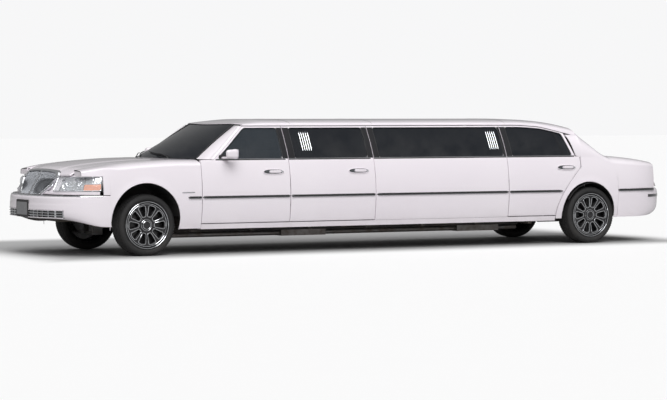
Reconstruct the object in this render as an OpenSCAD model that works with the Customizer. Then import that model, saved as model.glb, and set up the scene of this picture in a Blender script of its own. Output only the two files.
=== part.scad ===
// Stretch limousine: a long saloon with six hinged doors, a hood, a boot lid and steered front wheels.
// Lengths are in millimetres. X points forward, Y to the left and Z up; the origin lies on the ground
// under the middle of the body. The modules measure x from the front axle and shift to that origin at the end.

/* [Body] */
// Distance between the axles before the stretch
wheelbase_standard = 2990; // [2400:10:3700]
// Length added behind the middle doors
stretch = 3048; // [2400:10:3800]
// Front axle to the tip of the bumper
front_overhang = 1140; // [1000:10:1400]
// Rear axle to the tip of the rear bumper
rear_overhang = 1341; // [1150:10:1650]
// Width over the side panels
body_width = 1986; // [1900:2:2380]
// Top of the roof above the ground
roof_height = 1540; // [1500:5:1850]
// Lower edge of the side panels
sill_z = 290; // [250:5:320]
// Lower edge of the side windows
belt_z = 1075; // [1040:5:1120]

/* [Doors] */
// Rear edge of the front fender, behind the front axle
front_door_start = 660; // [620:5:700]
// Length of a front door
front_door_length = 1140; // [950:5:1370]
// Length of a middle door
middle_door_length = 1140; // [950:5:1370]
// Length of a rear door at its belt
rear_door_length = 1062; // [1040:2:1100]
// Shut gap round the doors and lids
shut_gap = 8.5; // [8:0.5:11]
// Inner face of the doors from the centre plane
door_inner_y = 895; // [880:5:905]
// Depth of the frames round the door windows
frame_depth = 45; // [36:1:50]
// Radius of the hinge pins
pin_r = 6; // [5:0.5:7]
// Opening angle of the doors
door_swing = 65; // [40:1:70]

/* [Wheels] */
// Outer diameter of a tyre
tyre_d = 698; // [640:2:720]
// Width of a tyre
tyre_w = 245; // [205:5:255]
// Diameter of the rim flanges
flange_d = 543; // [500:1:560]
// Distance between the front wheels
track_front = 1610; // [1570:2:1640]
// Distance between the rear wheels
track_rear = 1666; // [1620:2:1680]
// Radius of the hub spigots
spigot_r = 31.7; // [26:0.1:36]

/* [Panels] */
// Thickness of the outer panels
skin = 14; // [10:1:20]
// Thickness of the window glass
glass = 5; // [4:0.5:8]
// Gap between fixed pieces that lie against each other
seat = 0.4; // [0.2:0.1:0.6]

/* [Hidden] */

// Colours
paint = [0.93, 0.91, 0.94];
dark = [0.10, 0.10, 0.11];
tint = [0.12, 0.13, 0.16];
chrome = [0.80, 0.81, 0.83];
steel = [0.35, 0.36, 0.38];
leather = [0.16, 0.15, 0.16];
lamp_white = [0.86, 0.88, 0.92];
lamp_red = [0.60, 0.06, 0.08];

// Overall places, with x measured from the front axle
wheelbase = wheelbase_standard + stretch;
body_length = front_overhang + wheelbase + rear_overhang;
axle_x = body_length / 2 - front_overhang;
rear_x = -wheelbase;
half_w = body_width / 2;
wheel_r = tyre_d / 2;

// Plan of the body: straight sides with a rounded nose and tail
nose_x = front_overhang - 790;
nose_power = 2.6;
tail_x = rear_x - 362;
tail_end = rear_x - rear_overhang;
tail_power = 2.9;
crease_z = 660;
lower_tuck = 45;
upper_tuck = 55;

// Greenhouse
door_top_z = roof_height - 85;
house_belt_y = half_w - 63;
house_top_y = half_w - 255;
roof_edge_y = half_w - 268;
glass_bottom = belt_z + 15;
glass_top = door_top_z - 19;
rail_bottom = door_top_z - 60;

// Door stations
front_lead = -front_door_start;
middle_lead = front_lead - front_door_length;
panel_lead = middle_lead - middle_door_length;
rear_lead = rear_x + 166 + rear_door_length;
rear_trail = rear_x + 166;
door_bottom = sill_z + 66;
window_edge = 80;

// Door hinges: a vertical pin behind the leading edge and just inside the skin
hinge_back = 70;
hinge_y = half_w - 22;
hinge_heights = [540, 780];
notch_half = 22;
eye_r = 11;
pin_gap = 0.3;
pillar_y = hinge_y - 111;

// Wheel arches
front_arch_x = 40;
front_arch_r = 430;
front_arch_z = 400;
rear_arch_x = rear_x + 53;
rear_arch_r = 395;
rear_arch_z = 373;

// Floor and frame
rail_y = 380;
rail_w = 70;
rail_z = 235;
rail_h = 90;
cross_z = rail_z + 5;
floor_t = 12;
floor_z = rail_z + rail_h + seat + floor_t;
kick_x = rear_x + 700;
kick_z = 440;
deck_z = kick_z + rail_h + seat;
front_rail_z = 385;
firewall_x = front_lead + 92;
deck_half = 620;

// Steering
kingpin_y = track_front / 2 - 25;
kingpin_half = 135;
hub_reach = 70;
spigot_h = 24;

// ---------------------------------------------------------------- helpers
function lerp(a, b, t) = a + (b - a) * t;
function clamp(v, low, high) = max(low, min(high, v));
function steps(a, b, n) = [for (k = [0:n]) lerp(a, b, k / n)];

// Curve through listed [position, value] pairs, in rising order of position, straight between them
function along(pairs, x, k = 0) =
    x <= pairs[0][0] ? pairs[0][1] :
    k == len(pairs) - 1 ? pairs[k][1] :
    x <= pairs[k + 1][0] ?
        lerp(pairs[k][1], pairs[k + 1][1], (x - pairs[k][0]) / (pairs[k + 1][0] - pairs[k][0])) :
    along(pairs, x, k + 1);

module on_car() translate([axle_x, 0, 0]) children();
module both_sides() for (side = [0, 1]) mirror([0, side, 0]) children();
module on_side(left) mirror([0, left ? 0 : 1, 0]) children();

// Block between two corners
module block(low, high) translate(low) cube(high - low);

// Plate between two grids of points; cells where open(i, j) is true are left out with walls round them
module shell(outer, inner, open = function(i, j) false) {
    rows = len(outer);
    cols = len(outer[0]);
    inner_start = rows * cols;
    solid = function(i, j) i >= 0 && i < rows - 1 && j >= 0 && j < cols - 1 && !open(i, j);
    at = function(i, j) i * cols + j;
    quad = function(a, b, c, d) [[a, b, c], [a, c, d]];
    faces = [for (i = [0:rows - 2], j = [0:cols - 2]) if (solid(i, j)) each concat(
        quad(at(i, j), at(i + 1, j), at(i + 1, j + 1), at(i, j + 1)),
        quad(inner_start + at(i, j), inner_start + at(i, j + 1),
             inner_start + at(i + 1, j + 1), inner_start + at(i + 1, j)),
        solid(i, j - 1) ? [] : quad(at(i, j), inner_start + at(i, j), inner_start + at(i + 1, j), at(i + 1, j)),
        solid(i + 1, j) ? [] : quad(at(i + 1, j), inner_start + at(i + 1, j),
                                    inner_start + at(i + 1, j + 1), at(i + 1, j + 1)),
        solid(i, j + 1) ? [] : quad(at(i + 1, j + 1), inner_start + at(i + 1, j + 1),
                                    inner_start + at(i, j + 1), at(i, j + 1)),
        solid(i - 1, j) ? [] : quad(at(i, j + 1), inner_start + at(i, j + 1), inner_start + at(i, j), at(i, j)))];
    polyhedron(points = concat([for (row = outer) each row], [for (row = inner) each row]), faces = faces);
}

// Solid through cross-sections of equal length, each counter-clockwise seen from the last one's side
module loft(sections) {
    count = len(sections);
    sides = len(sections[0]);
    at = function(k, m) k * sides + m % sides;
    polyhedron(
        points = [for (section = sections) each section],
        faces = concat(
            [[for (m = [0:sides - 1]) m]],
            [[for (m = [sides - 1:-1:0]) at(count - 1, m)]],
            [for (k = [0:count - 2], m = [0:sides - 1]) each [
                [at(k, m), at(k + 1, m), at(k + 1, m + 1)],
                [at(k, m), at(k + 1, m + 1), at(k, m + 1)]]]));
}

// ---------------------------------------------------------------- body surface
function half_plan(x) =
    x > nose_x ? half_w * pow(max(0, 1 - pow((x - nose_x) / (front_overhang - nose_x), nose_power)), 1 / nose_power) :
    x < tail_x ? half_w * pow(max(0, 1 - pow((tail_x - x) / (tail_x - tail_end), tail_power)), 1 / tail_power) :
    half_w;

function side_drop(z) = z < crease_z
    ? lower_tuck * pow((crease_z - z) / (crease_z - sill_z), 2)
    : upper_tuck * pow((z - crease_z) / (belt_z - crease_z), 2);

function house_y(z) = house_belt_y - (house_belt_y - house_top_y)
    * pow(max(0, (z - belt_z) / (door_top_z - belt_z)), 1.2);

function side_y(x, z) = z <= belt_z - 5 ? half_plan(x) - side_drop(z) : house_y(z);

// Hood and fender tops
function hood_centre_z(x) = let (s = max(0, (x + 360) / 1257))
    belt_z + 25 - 134 * (0.35 * s + 0.65 * pow(s, 3));
function hood_z(x, y) = hood_centre_z(x) - 12 * pow(y / 650, 2);
function hood_edge_y(x) = min(half_w - 313, half_plan(x) - 130);

// Roof, with its highest line flat between the two ends
function roof_drop(x) = along([[rear_x + 100, 95], [rear_x + 190, 67], [rear_x + 467, 25], [rear_x + 741, 8],
    [rear_x + 1038, 0], [-1628, 0], [-1405, 22], [-1163, 56]], x);
function roof_side_z(x) = rear_top(x) + 17;
function roof_side_y(x) = x < rear_x + 1038 ? house_y(roof_side_z(x)) - 4 : roof_edge_y;
function roof_z(x, y) = let (centre = roof_height - roof_drop(x))
    centre - (centre - roof_side_z(x)) * pow(abs(y) / roof_side_y(x), 2.6);
function screen_top_x(v) = -1163 - 140 * v * v;
function screen_base_x(v) = -375 - 333 * v * v;
function backlight_top_x(v) = rear_x + 180 - 40 * v * v;
function backlight_base_x(v) = rear_x - 400 + 200 * v * v;

// Rear deck
function deck_top_z(x) = along([[tail_end, belt_z - 130], [rear_x - 1050, belt_z - 78], [rear_x - 300, belt_z + 5]], x);
lid_edge_y = half_w - 347;

// Nose faces follow the plan, set back with height
function nose_point(angle, z, setback) = [
    nose_x + (front_overhang - nose_x - setback) * pow(cos(angle), 2 / nose_power),
    (half_w - side_drop(z)) * pow(sin(angle), 2 / nose_power), z];
function nose_setback(z) = 128 + 0.62 * (z - 748);
function tail_point(angle, z, setback) = [
    tail_x - (tail_x - tail_end - setback) * pow(cos(angle), 2 / tail_power),
    (half_w - side_drop(z)) * pow(sin(angle), 2 / tail_power), z];

// ---------------------------------------------------------------- doors and side panels
low_rows = [door_bottom, 470, crease_z, 780, 900, 990, belt_z - 5];
window_rows = [glass_bottom, belt_z + 125, belt_z + 245, glass_top];
high_rows = concat([belt_z + 1], window_rows, [door_top_z]);
house_start = len(low_rows);

// A side panel: edges are functions of height, top is the height reached at each x
module side_panel(rows, edges, splits, top, inner_y, bevel, hole) {
    columns = [for (e = [0:len(edges) - 2], k = [0:splits[e] - 1]) [e, k / splits[e]],
               [len(edges) - 2, 1]];
    x_at = function(c, z) lerp(edges[c[0]](z), edges[c[0] + 1](z), c[1]);
    z_at = function(x, z) z <= belt_z ? z : belt_z + (z - belt_z) * (top(x) - belt_z) / (door_top_z - belt_z);
    outer = [for (c = columns) [for (z = rows) let (x = x_at(c, z), zz = z_at(x, z)) [x, side_y(x, zz), zz]]];
    inner = [for (n = [0:len(columns) - 1]) [for (z = rows)
        let (x = x_at(columns[n], z), zz = z_at(x, z))
        [x + (n == 0 ? bevel(z) : 0), inner_y(x, zz), zz]]];
    shell(outer, inner, hole);
}

function door_depth(x, z) = z <= belt_z - 5 ? door_inner_y : house_y(z) - frame_depth;
function edge_bevel(z) = z <= belt_z - 5 ? 2 : 16;
function flat_top(x) = door_top_z;
function rear_top(x) = along([[rear_trail, door_top_z - 130], [rear_x + 371, door_top_z - 95],
    [rear_x + 684, door_top_z - 12], [rear_x + 1038, door_top_z]], x);

// Edges, from the rear of the car forward
function front_edge_front(z) = z <= belt_z - 5 ? front_lead : -front_door_start - 170 - 1.2 * (z - belt_z);
function front_window_front(z) = front_edge_front(max(z, belt_z + 1)) - 32;
function rear_edge_rear(z) = z <= belt_z - 5
    ? rear_trail + 370 * (1 - pow(clamp((z - door_bottom) / (940 - door_bottom), 0, 1), 1.7))
    : rear_trail + 60 + 90 * (z - belt_z) / (door_top_z - belt_z);

module front_door_panel() side_panel(concat(low_rows, high_rows),
    [function(z) middle_lead + shut_gap, function(z) middle_lead + window_edge,
     function(z) front_window_front(z), function(z) front_edge_front(z)],
    [1, 3, 1], function(x) flat_top(x), function(x, z) door_depth(x, z), function(z) edge_bevel(z),
    function(i, j) i >= 1 && i <= 3 && j >= house_start + 1 && j <= house_start + 3);
module middle_door_panel() side_panel(concat(low_rows, high_rows),
    [function(z) panel_lead + shut_gap, function(z) panel_lead + window_edge,
     function(z) middle_lead - window_edge, function(z) middle_lead],
    [1, 2, 1], function(x) flat_top(x), function(x, z) door_depth(x, z), function(z) edge_bevel(z),
    function(i, j) i >= 1 && i <= 2 && j >= house_start + 1 && j <= house_start + 3);
module rear_door_panel() side_panel(concat(low_rows, high_rows),
    [function(z) rear_edge_rear(z), function(z) max(rear_edge_rear(z), rear_edge_rear(belt_z)) + 45,
     function(z) rear_lead - window_edge, function(z) rear_lead],
    [1, 6, 1], function(x) rear_top(x), function(x, z) door_depth(x, z), function(z) edge_bevel(z),
    function(i, j) i >= 1 && i <= 6 && j >= house_start + 1 && j <= house_start + 3);

// Pocket for the fixed eye, open towards the cabin and the leading edge, with the pin across it
module hinge_notches(lead) for (z = hinge_heights)
    block([lead - hinge_back - eye_r - 6, door_inner_y - 5, z - notch_half],
          [lead + 5, hinge_y + eye_r + 3, z + notch_half]);
module hinge_pins(lead) for (z = hinge_heights)
    translate([lead - hinge_back, hinge_y, z - notch_half + pin_gap])
        cylinder(r = pin_r, h = 2 * (notch_half - pin_gap), $fn = 32);

module hinged_door(lead, left) color(paint) on_car() on_side(left) {
    difference() {
        children();
        hinge_notches(lead);
    }
    hinge_pins(lead);
}
module mirror_body() {
    mirror_x = front_lead - 250;
    loft([for (k = [0:6]) let (a = 180 * k / 6, w = 0.55 + 0.45 * sin(a), y = half_w + 57 + 75 * k / 6)
        [[mirror_x - 70 * w, y, 1142 - 62 * w], [mirror_x - 70 * w, y, 1142 + 68 * w],
         [mirror_x + 75 * w, y, 1142 + 52 * w], [mirror_x + 75 * w, y, 1142 - 46 * w]]]);
    block([mirror_x - 45, house_belt_y - 10, belt_z + 12], [mirror_x + 15, half_w + 58, belt_z + 34]);
    block([mirror_x - 25, half_w + 42, belt_z + 20], [mirror_x + 25, half_w + 66, belt_z + 48]);
}
module front_door(left) hinged_door(front_lead, left) union() {
    front_door_panel();
    mirror_body();
}

// Window panes lie inside the door frames
function pane_y(z, depth) = house_y(z) - depth;
module pane(rear_edge, front_edge, columns, top) {
    grid = function(depth) [for (k = [0:columns]) [for (z = window_rows)
        let (x = lerp(rear_edge(z) + 2 * seat, front_edge(z) - 2 * seat, k / columns),
             zz = belt_z + (z + (z == glass_bottom ? seat : z == glass_top ? -seat : 0) - belt_z)
                 * (top(x) - belt_z) / (door_top_z - belt_z))
        [x, pane_y(zz, depth), zz]]];
    shell(grid(18), grid(18 + glass));
}
module front_glass(left) color(tint) on_car() on_side(left)
    pane(function(z) middle_lead + window_edge, function(z) front_window_front(z), 3, function(x) flat_top(x));
module middle_glass(left) color(tint) on_car() on_side(left)
    pane(function(z) panel_lead + window_edge, function(z) middle_lead - window_edge, 2, function(x) flat_top(x));
module rear_glass(left) color(tint) on_car() on_side(left)
    pane(function(z) rear_edge_rear(z) + 45, function(z) rear_lead - window_edge, 6, function(x) rear_top(x));

module stretch_panels() color(paint) on_car() both_sides()
    side_panel(concat([rocker_top + seat], low_rows, high_rows),
        [function(z) rear_lead + shut_gap, function(z) rear_lead + 60,
         function(z) panel_lead - 60, function(z) panel_lead],
        [1, 3, 1], function(x) flat_top(x),
        function(x, z) z <= belt_z - 5 ? side_y(x, z) - frame_depth : house_y(z) - frame_depth,
        function(z) 0,
        function(i, j) i >= 1 && i <= 3 && j >= house_start + 2 && j <= house_start + 4);

// ---------------------------------------------------------------- fenders and quarter panels
// A section rises up the side to its shoulder, then rolls inwards to its upper edge
function shoulder_section(x, bottom, shoulder, edge, power, thickness) =
    let (base = half_plan(x) - side_drop(shoulder))
    concat(
        [for (z = steps(bottom, shoulder, 5)) [x, half_plan(x) - side_drop(z) - thickness, z]],
        [for (a = [18:18:90]) [x,
            edge[0] + (base - edge[0]) * pow(cos(a), power) - thickness * cos(a * 0.9),
            shoulder + (edge[1] - shoulder) * pow(sin(a), power) - thickness * sin(a * 0.9)]]);

function arch_columns(centre, radius, step) = [for (a = [0:step:180]) centre - radius * cos(a)];
function arch_bottom(x, centre, radius, z, outside) = abs(x - centre) < radius + 0.01
    ? z + sqrt(max(0, radius * radius - pow(x - centre, 2))) : outside;

lamp_rear_x = 560;
function fender_bottom(x) = x > lamp_rear_x ? 915 : x > 508 ? 705 :
    arch_bottom(x, front_arch_x, front_arch_r, front_arch_z, sill_z + 10);
fender_columns = concat([front_lead + shut_gap, front_lead + 100, -480],
    [front_arch_x - front_arch_r - 0.5], arch_columns(front_arch_x, front_arch_r, 15),
    [front_arch_x + front_arch_r + 0.5, 507, 509, lamp_rear_x - 1, lamp_rear_x + 1, 640, 720, 790]);
function fender_section(x, thickness) = shoulder_section(x, fender_bottom(x),
    min(belt_z - 60, hood_z(x, hood_edge_y(x)) - (x > lamp_rear_x ? 30 : 85)),
    [hood_edge_y(x) + 7, hood_z(x, hood_edge_y(x))], 0.85, thickness);
module front_fenders() color(paint) on_car() both_sides()
    shell([for (x = fender_columns) fender_section(x, 0)], [for (x = fender_columns) fender_section(x, skin)]);

// The quarter panel's upper edge runs down beside the back window, then back beside the boot lid
quarter_front = rear_trail - shut_gap;
quarter_clear = shut_gap + 12;
bumper_rear_x = rear_x - 385;
function quarter_edge(x) = [
    along([[rear_x - 60, lid_edge_y + 7], [rear_x + 132, half_w - 388], [quarter_front, roof_side_y(quarter_front) - 4]], x),
    x < rear_x - 300 ? deck_top_z(x) :
    along([[rear_x - 300, belt_z + 5], [rear_x - 200, belt_z + 58], [rear_x - 60, belt_z + 170],
           [rear_x + 132, roof_z(rear_x + 145, half_w - 388) - 10 - 2 * seat],
           [quarter_front, roof_side_z(quarter_front) - 10 - 2 * seat]], x)];
function quarter_bottom(x) = x < bumper_rear_x ? 680 :
    arch_bottom(x, rear_arch_x, rear_arch_r, rear_arch_z, sill_z + 25);
quarter_columns = concat([rear_x - 1015, rear_x - 900, rear_x - 700, rear_x - 500, bumper_rear_x - 1,
    bumper_rear_x + 1, rear_arch_x - rear_arch_r - 0.5], arch_columns(rear_arch_x, rear_arch_r, 15),
    [rear_arch_x + rear_arch_r + 0.5, rear_trail + 358]);

// Columns ahead of the door's rear edge follow that edge, side by side, from where they meet it
function quarter_section(n, thickness) =
    let (x = quarter_columns[n], behind = len(quarter_columns) - 1 - n, start = min(x, quarter_front),
         section = shoulder_section(start, quarter_bottom(x),
            along([[rear_x - 400, belt_z - 150], [rear_x - 60, belt_z - 5]], start), quarter_edge(start),
            along([[rear_x - 350, 0.9], [rear_x + 132, 1], [quarter_front, 1.8]], start), thickness))
    [for (p = section) [min(x, rear_edge_rear(p[2]) - quarter_clear - 3 * behind), p[1], p[2]]];
module quarter_panels() color(paint) on_car() both_sides()
    shell([for (n = [0:len(quarter_columns) - 1]) quarter_section(n, 0)],
          [for (n = [0:len(quarter_columns) - 1]) quarter_section(n, skin)]);

// ---------------------------------------------------------------- roof, glass, hood and boot lid
roof_columns = concat([for (u = [0:7]) [0, u / 8]], [for (u = [0:2:10]) [1, u / 10]], [[2, 0], [2, 0.4], [2, 1]]);
function roof_x(c, v) = c[0] == 0 ? lerp(backlight_top_x(v) + 6, rear_x + 1038, c[1]) :
    c[0] == 1 ? lerp(rear_x + 1038, -1628, c[1]) : lerp(-1628, screen_top_x(v) - 6, c[1]);
function roof_grid(lift) = [for (c = roof_columns) [for (v = steps(1, -1, 12))
    let (x = roof_x(c, v), y = v * roof_side_y(x)) [x, y, roof_z(x, y) - lift]]];
module roof() color(paint) on_car() {
    shell(roof_grid(0), roof_grid(10));
    both_sides() loft([for (x = [rear_lead - 120, rear_lead + 200, -1628, -1340])
        let (top = roof_z(x, house_top_y - 63) - 6)
        [[x, house_top_y - 63, rail_bottom], [x, house_top_y - 63, top],
         [x, house_top_y - 123, top], [x, house_top_y - 123, rail_bottom]]]);
}

function screen_point(u, v, depth) = [
    lerp(screen_base_x(v), screen_top_x(v) - 14, u) - depth * 0.45 + 60 * u * (1 - u),
    v * lerp(half_w - 258, half_w - 403, u),
    lerp(belt_z + 20 - 10 * v * v, roof_z(screen_top_x(v) - 14, v * (half_w - 403)) - 10 - 4 * seat, u) - depth];
function backlight_point(u, v, depth) = [
    lerp(backlight_base_x(v), backlight_top_x(v) + 14, u) + depth * 0.3 - 70 * u * (1 - u),
    v * lerp(lid_edge_y + 5, half_w - 400, u),
    lerp(belt_z + 8, roof_z(backlight_top_x(v) + 14, v * (half_w - 400)) - 10 - 4 * seat, u) - depth];
module fixed_glass() color(tint) on_car() {
    shell([for (u = steps(1, 0, 5)) [for (v = steps(1, -1, 10)) screen_point(u, v, 0)]],
          [for (u = steps(1, 0, 5)) [for (v = steps(1, -1, 10)) screen_point(u, v, glass)]]);
    shell([for (u = steps(0, 1, 5)) [for (v = steps(1, -1, 10)) backlight_point(u, v, 0)]],
          [for (u = steps(0, 1, 5)) [for (v = steps(1, -1, 10)) backlight_point(u, v, glass)]]);
    both_sides() pane(function(z) rear_lead + 60, function(z) panel_lead - 60, 3, function(x) flat_top(x));
}

hood_hinge_x = -600;
hood_hinge_z = belt_z - 30;
hood_lug_y = 640;
function hood_rear_x(v) = -345 - 245 * v * v;
function hood_front_x(y) = let (s = abs(y) / (half_w - 45))
    nose_x + 545 * pow(1 - pow(s, nose_power), 1 / nose_power);
function hood_point(u, v, thickness) =
    let (y0 = v * (half_w - 313), x = lerp(hood_rear_x(v), hood_front_x(v * 560), u), y = v * hood_edge_y(x))
    [x, y, hood_z(x, y) - 42 * pow(max(0, (u - 0.82) / 0.18), 2) - thickness];
hood_steps = [0, 0.12, 0.3, 0.5, 0.7, 0.82, 0.9, 0.96, 1];
module hood() {
    color(paint) on_car() {
        shell([for (u = hood_steps) [for (v = steps(1, -1, 14)) hood_point(u, v, 0)]],
              [for (u = hood_steps) [for (v = steps(1, -1, 14)) hood_point(u, v, skin)]]);
        both_sides() for (side = [-1, 1])
            translate([hood_hinge_x, hood_lug_y + side * 20 + 5, hood_hinge_z]) rotate([90, 0, 0])
                linear_extrude(10) polygon([[-7, -10], [60, -12], [60, 34], [42, 34], [-7, 8]]);
        both_sides() translate([hood_hinge_x, hood_lug_y + 15 - pin_gap, hood_hinge_z]) rotate([90, 0, 0])
            cylinder(r = pin_r, h = 2 * (15 - pin_gap), $fn = 32);
    }
}

lid_hinge_x = rear_x - 440;
lid_hinge_z = belt_z - 40;
lid_lug_y = 500;
lid_rear_x = rear_x - 1050;
lid_bottom_z = 730;
function lid_front_x(v) = rear_x - 412 + 20 * v * v;
function lid_tail_x(v) = lid_rear_x - 60 * (1 - v * v);
function lid_point(s, v, t) = let (y = v * lid_edge_y)
    s <= 1 ? let (x = lerp(lid_tail_x(v), lid_front_x(v), s))
        [x + (s == 0 ? t : 0), y, deck_top_z(x) + 10 * (1 - v * v) * (1 - s) - t]
    : [lid_tail_x(v) - 8 - 20 * (s - 1) + t, y, lerp(deck_top_z(lid_tail_x(v)) - 20, lid_bottom_z, s - 1)];
lid_steps = [2, 1.66, 1.33, 1.02, 0, 0.2, 0.45, 0.7, 0.9, 1];
module boot_lid() color(paint) on_car() {
    shell([for (s = lid_steps) [for (v = steps(1, -1, 8)) lid_point(s, v, 0)]],
          [for (s = lid_steps) [for (v = steps(1, -1, 8)) lid_point(s, v, skin)]]);
    both_sides() for (side = [-1, 1])
        block([lid_hinge_x - 55, lid_lug_y + side * 20 - 5, lid_hinge_z - 12],
              [lid_hinge_x + 14, lid_lug_y + side * 20 + 5, lid_hinge_z + 34]);
    both_sides() translate([lid_hinge_x, lid_lug_y + 15 - pin_gap, lid_hinge_z]) rotate([90, 0, 0])
        cylinder(r = pin_r, h = 2 * (15 - pin_gap), $fn = 32);
}

// ---------------------------------------------------------------- ends of the body
module nose_shell(angles, rows, thickness) {
    grid = function(t) [for (a = angles) [for (r = rows)
        let (p = nose_point(abs(a), r[0], r[1] + t)) [p[0], sign(a) * (p[1] - t * abs(sin(a))), p[2]]]];
    shell(grid(0), grid(thickness));
}
plate_w = 305;
plate_holes_y = 178;
nose_shelf_z = 688.6;
tail_shelf_z = 670.6;
module front_bumper() color(paint) on_car() difference() {
    union() {
        nose_shell(steps(81, -81, 14),
            [[sill_z + 120, 60], [sill_z + 150, 14], [500, 0], [600, 0], [655, 8], [682, 34], [688, 80], [nose_shelf_z, 112]], skin + 10);
        block([front_overhang - 14, -plate_w / 2, 490], [front_overhang - 0.5, plate_w / 2, 600]);
        both_sides() block([front_overhang - 260 + seat, rail_y + 10, 440], [front_overhang - 55, rail_y + 60, 475]);
    }
    plate_holes(front_overhang, 545);
}
module rear_bumper() color(paint) on_car() {
    rows = [[sill_z + 100, 60], [sill_z + 130, 14], [480, 0], [590, 0], [640, 10], [664, 40], [670, 80], [tail_shelf_z, 112]];
    grid = function(t) [for (a = concat([-90], steps(-84, 84, 14), [90])) [for (r = rows)
        let (p = tail_point(abs(a), r[0], r[1] + t))
        [abs(a) == 90 ? bumper_rear_x - 1.5 : p[0], sign(a) * (p[1] - t * abs(sin(a))), p[2]]]];
    difference() {
        union() {
            shell(grid(0), grid(skin + 10));
            block([tail_end + 0.5, -plate_w / 2, 480], [tail_end + 14, plate_w / 2, 590]);
            both_sides() block([tail_end + 40, rail_y + 10, kick_z + 45], [rear_x - 1150 - seat, rail_y + 60, kick_z + 85]);
        }
        plate_holes(tail_end, 535);
    }
}
module plate_holes(x, z) for (side = [-1, 1])
    translate([x - 60, side * plate_holes_y / 2, z]) rotate([0, 90, 0]) cylinder(r = 3, h = 120, $fn = 24);
module grille() color(chrome) on_car()
    nose_shell([for (a = [-20:5:20]) -a],
        [[nose_shelf_z + seat, 90], [735, nose_setback(735)], [790, nose_setback(790)], [860, nose_setback(860)], [900, nose_setback(900)]], 30);
module headlamps() color(lamp_white) on_car() both_sides() {
    lamp_angles = steps(73, 21, 7);
    nose_shell(lamp_angles, [[nose_shelf_z + seat, 90], [735, nose_setback(735)], [790, nose_setback(790)],
        [850, nose_setback(850)], [892, nose_setback(892)]], 40);
}
module tail_lamps() color(lamp_red) on_car() both_sides() {
    angles = steps(36, 50, 4);
    rows = [tail_shelf_z + seat, 740, 800, 860, 920];
    grid = function(t) [for (a = angles) [for (z = rows)
        let (p = tail_point(a, z, 70 + 0.4 * (z - 700) + t)) [p[0], p[1] - t * abs(sin(a)), p[2]]]];
    shell(grid(0), grid(40));
}

// ---------------------------------------------------------------- structure
function pillar_face(z) = min(pillar_y, z <= belt_z ? pillar_y : house_y(z) - frame_depth - 29);
module pillar(x1, x2, top) loft([for (z = [floor_z + 90, belt_z - 40, belt_z + 60, 1200, 1320, rail_bottom])
    if (z <= top) let (y = pillar_face(z), top_z = min(z, rail_bottom - seat))
        [[x1, y - 55, top_z], [x2, y - 55, top_z], [x2, y, top_z], [x1, y, top_z]]]);
module screen_pillar() loft([for (u = steps(0, 1, 4)) let (
        z = lerp(belt_z + 12, door_top_z - 4, u), door_x = front_edge_front(z) + shut_gap,
        w = screen_point(u, 1, 0))
    [[door_x, house_y(z), z], [door_x, house_y(z) - frame_depth - 14, z], [w[0] - 45, w[1] + 4, z],
     [w[0] + 6, w[1] + 8, z], [door_x + 34, house_y(z) - 8, z]]]);
rocker_top = door_bottom - shut_gap;
module sill() {
    block([kick_x - 60, pillar_y - 55, floor_z + seat], [front_lead + 130, pillar_y, floor_z + 90]);
    loft([for (x = [rear_trail + 372, front_lead + shut_gap - 5])
        [[x, pillar_y - 1, sill_z], [x, side_y(x, sill_z) - 1, sill_z],
         [x, side_y(x, rocker_top) - 1, rocker_top], [x, pillar_y - 1, rocker_top]]]);
}
module body_frame() color(paint) on_car() both_sides() {
    sill();
    pillar(front_lead - 110, front_lead - 30, belt_z);
    pillar(middle_lead - 110, middle_lead + 30, rail_bottom);
    pillar(panel_lead - 60, panel_lead + 40, rail_bottom);
    pillar(rear_lead - 110, rear_lead + 30, rail_bottom);
    screen_pillar();
}

module hinge_brackets() color(steel) on_car() {
    both_sides() for (lead = [front_lead, middle_lead, rear_lead], z = hinge_heights)
        translate([lead - hinge_back, hinge_y, z]) difference() {
            union() {
                translate([0, 0, -15]) cylinder(r = eye_r, h = 30, $fn = 32);
                block([-9, pillar_y + seat - hinge_y, -15], [9, 0, 15]);
            }
            translate([0, 0, -20]) cylinder(r = pin_r + pin_gap, h = 40, $fn = 32);
        }
}

module floor() color(dark) on_car() {
    half = pillar_y - 1 - seat;
    riser_half = pillar_y - 55 - seat;
    block([kick_x, -half, floor_z - floor_t], [firewall_x, half, floor_z]);
    block([kick_x, -riser_half, floor_z - floor_t], [kick_x + floor_t, riser_half, deck_z + floor_t]);
    block([rear_x - 1050, -deck_half, deck_z], [kick_x + floor_t, deck_half, deck_z + floor_t]);
}

module frame() color(dark) on_car() {
    both_sides() translate([0, rail_y + rail_w, 0]) rotate([90, 0, 0]) linear_extrude(rail_w) polygon([
        [front_overhang - 260, front_rail_z], [front_overhang - 260, front_rail_z + rail_h],
        [front_lead + 260, front_rail_z + rail_h], [front_lead + 100, rail_z + rail_h],
        [kick_x, rail_z + rail_h], [kick_x - 200, kick_z + rail_h],
        [rear_x - 1150, kick_z + rail_h], [rear_x - 1150, kick_z],
        [kick_x - 140, kick_z], [kick_x + 60, rail_z], [front_lead + 40, rail_z], [front_lead + 200, front_rail_z]]);
    for (x = [front_overhang - 320, 330, -330]) block([x, -rail_y, front_rail_z + 5], [x + 60, rail_y, front_rail_z + 60]);
    for (k = [0:5]) let (x = lerp(front_lead - 300, kick_x + 300, k / 5))
        block([x, -rail_y, cross_z], [x + 60, rail_y, cross_z + 30]);
    for (x = [rear_x - 1140, rear_x - 700, rear_x - 420])
        block([x, -rail_y, kick_z + 10], [x + 60, rail_y, kick_z + 70]);
    both_sides() for (k = [0:6]) let (x = lerp(front_lead + 40, kick_x + 120, k / 6))
        block([x, rail_y + rail_w, rail_z + 20], [x + 50, pillar_y - 1 - seat, rail_z + 60]);
}

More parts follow.
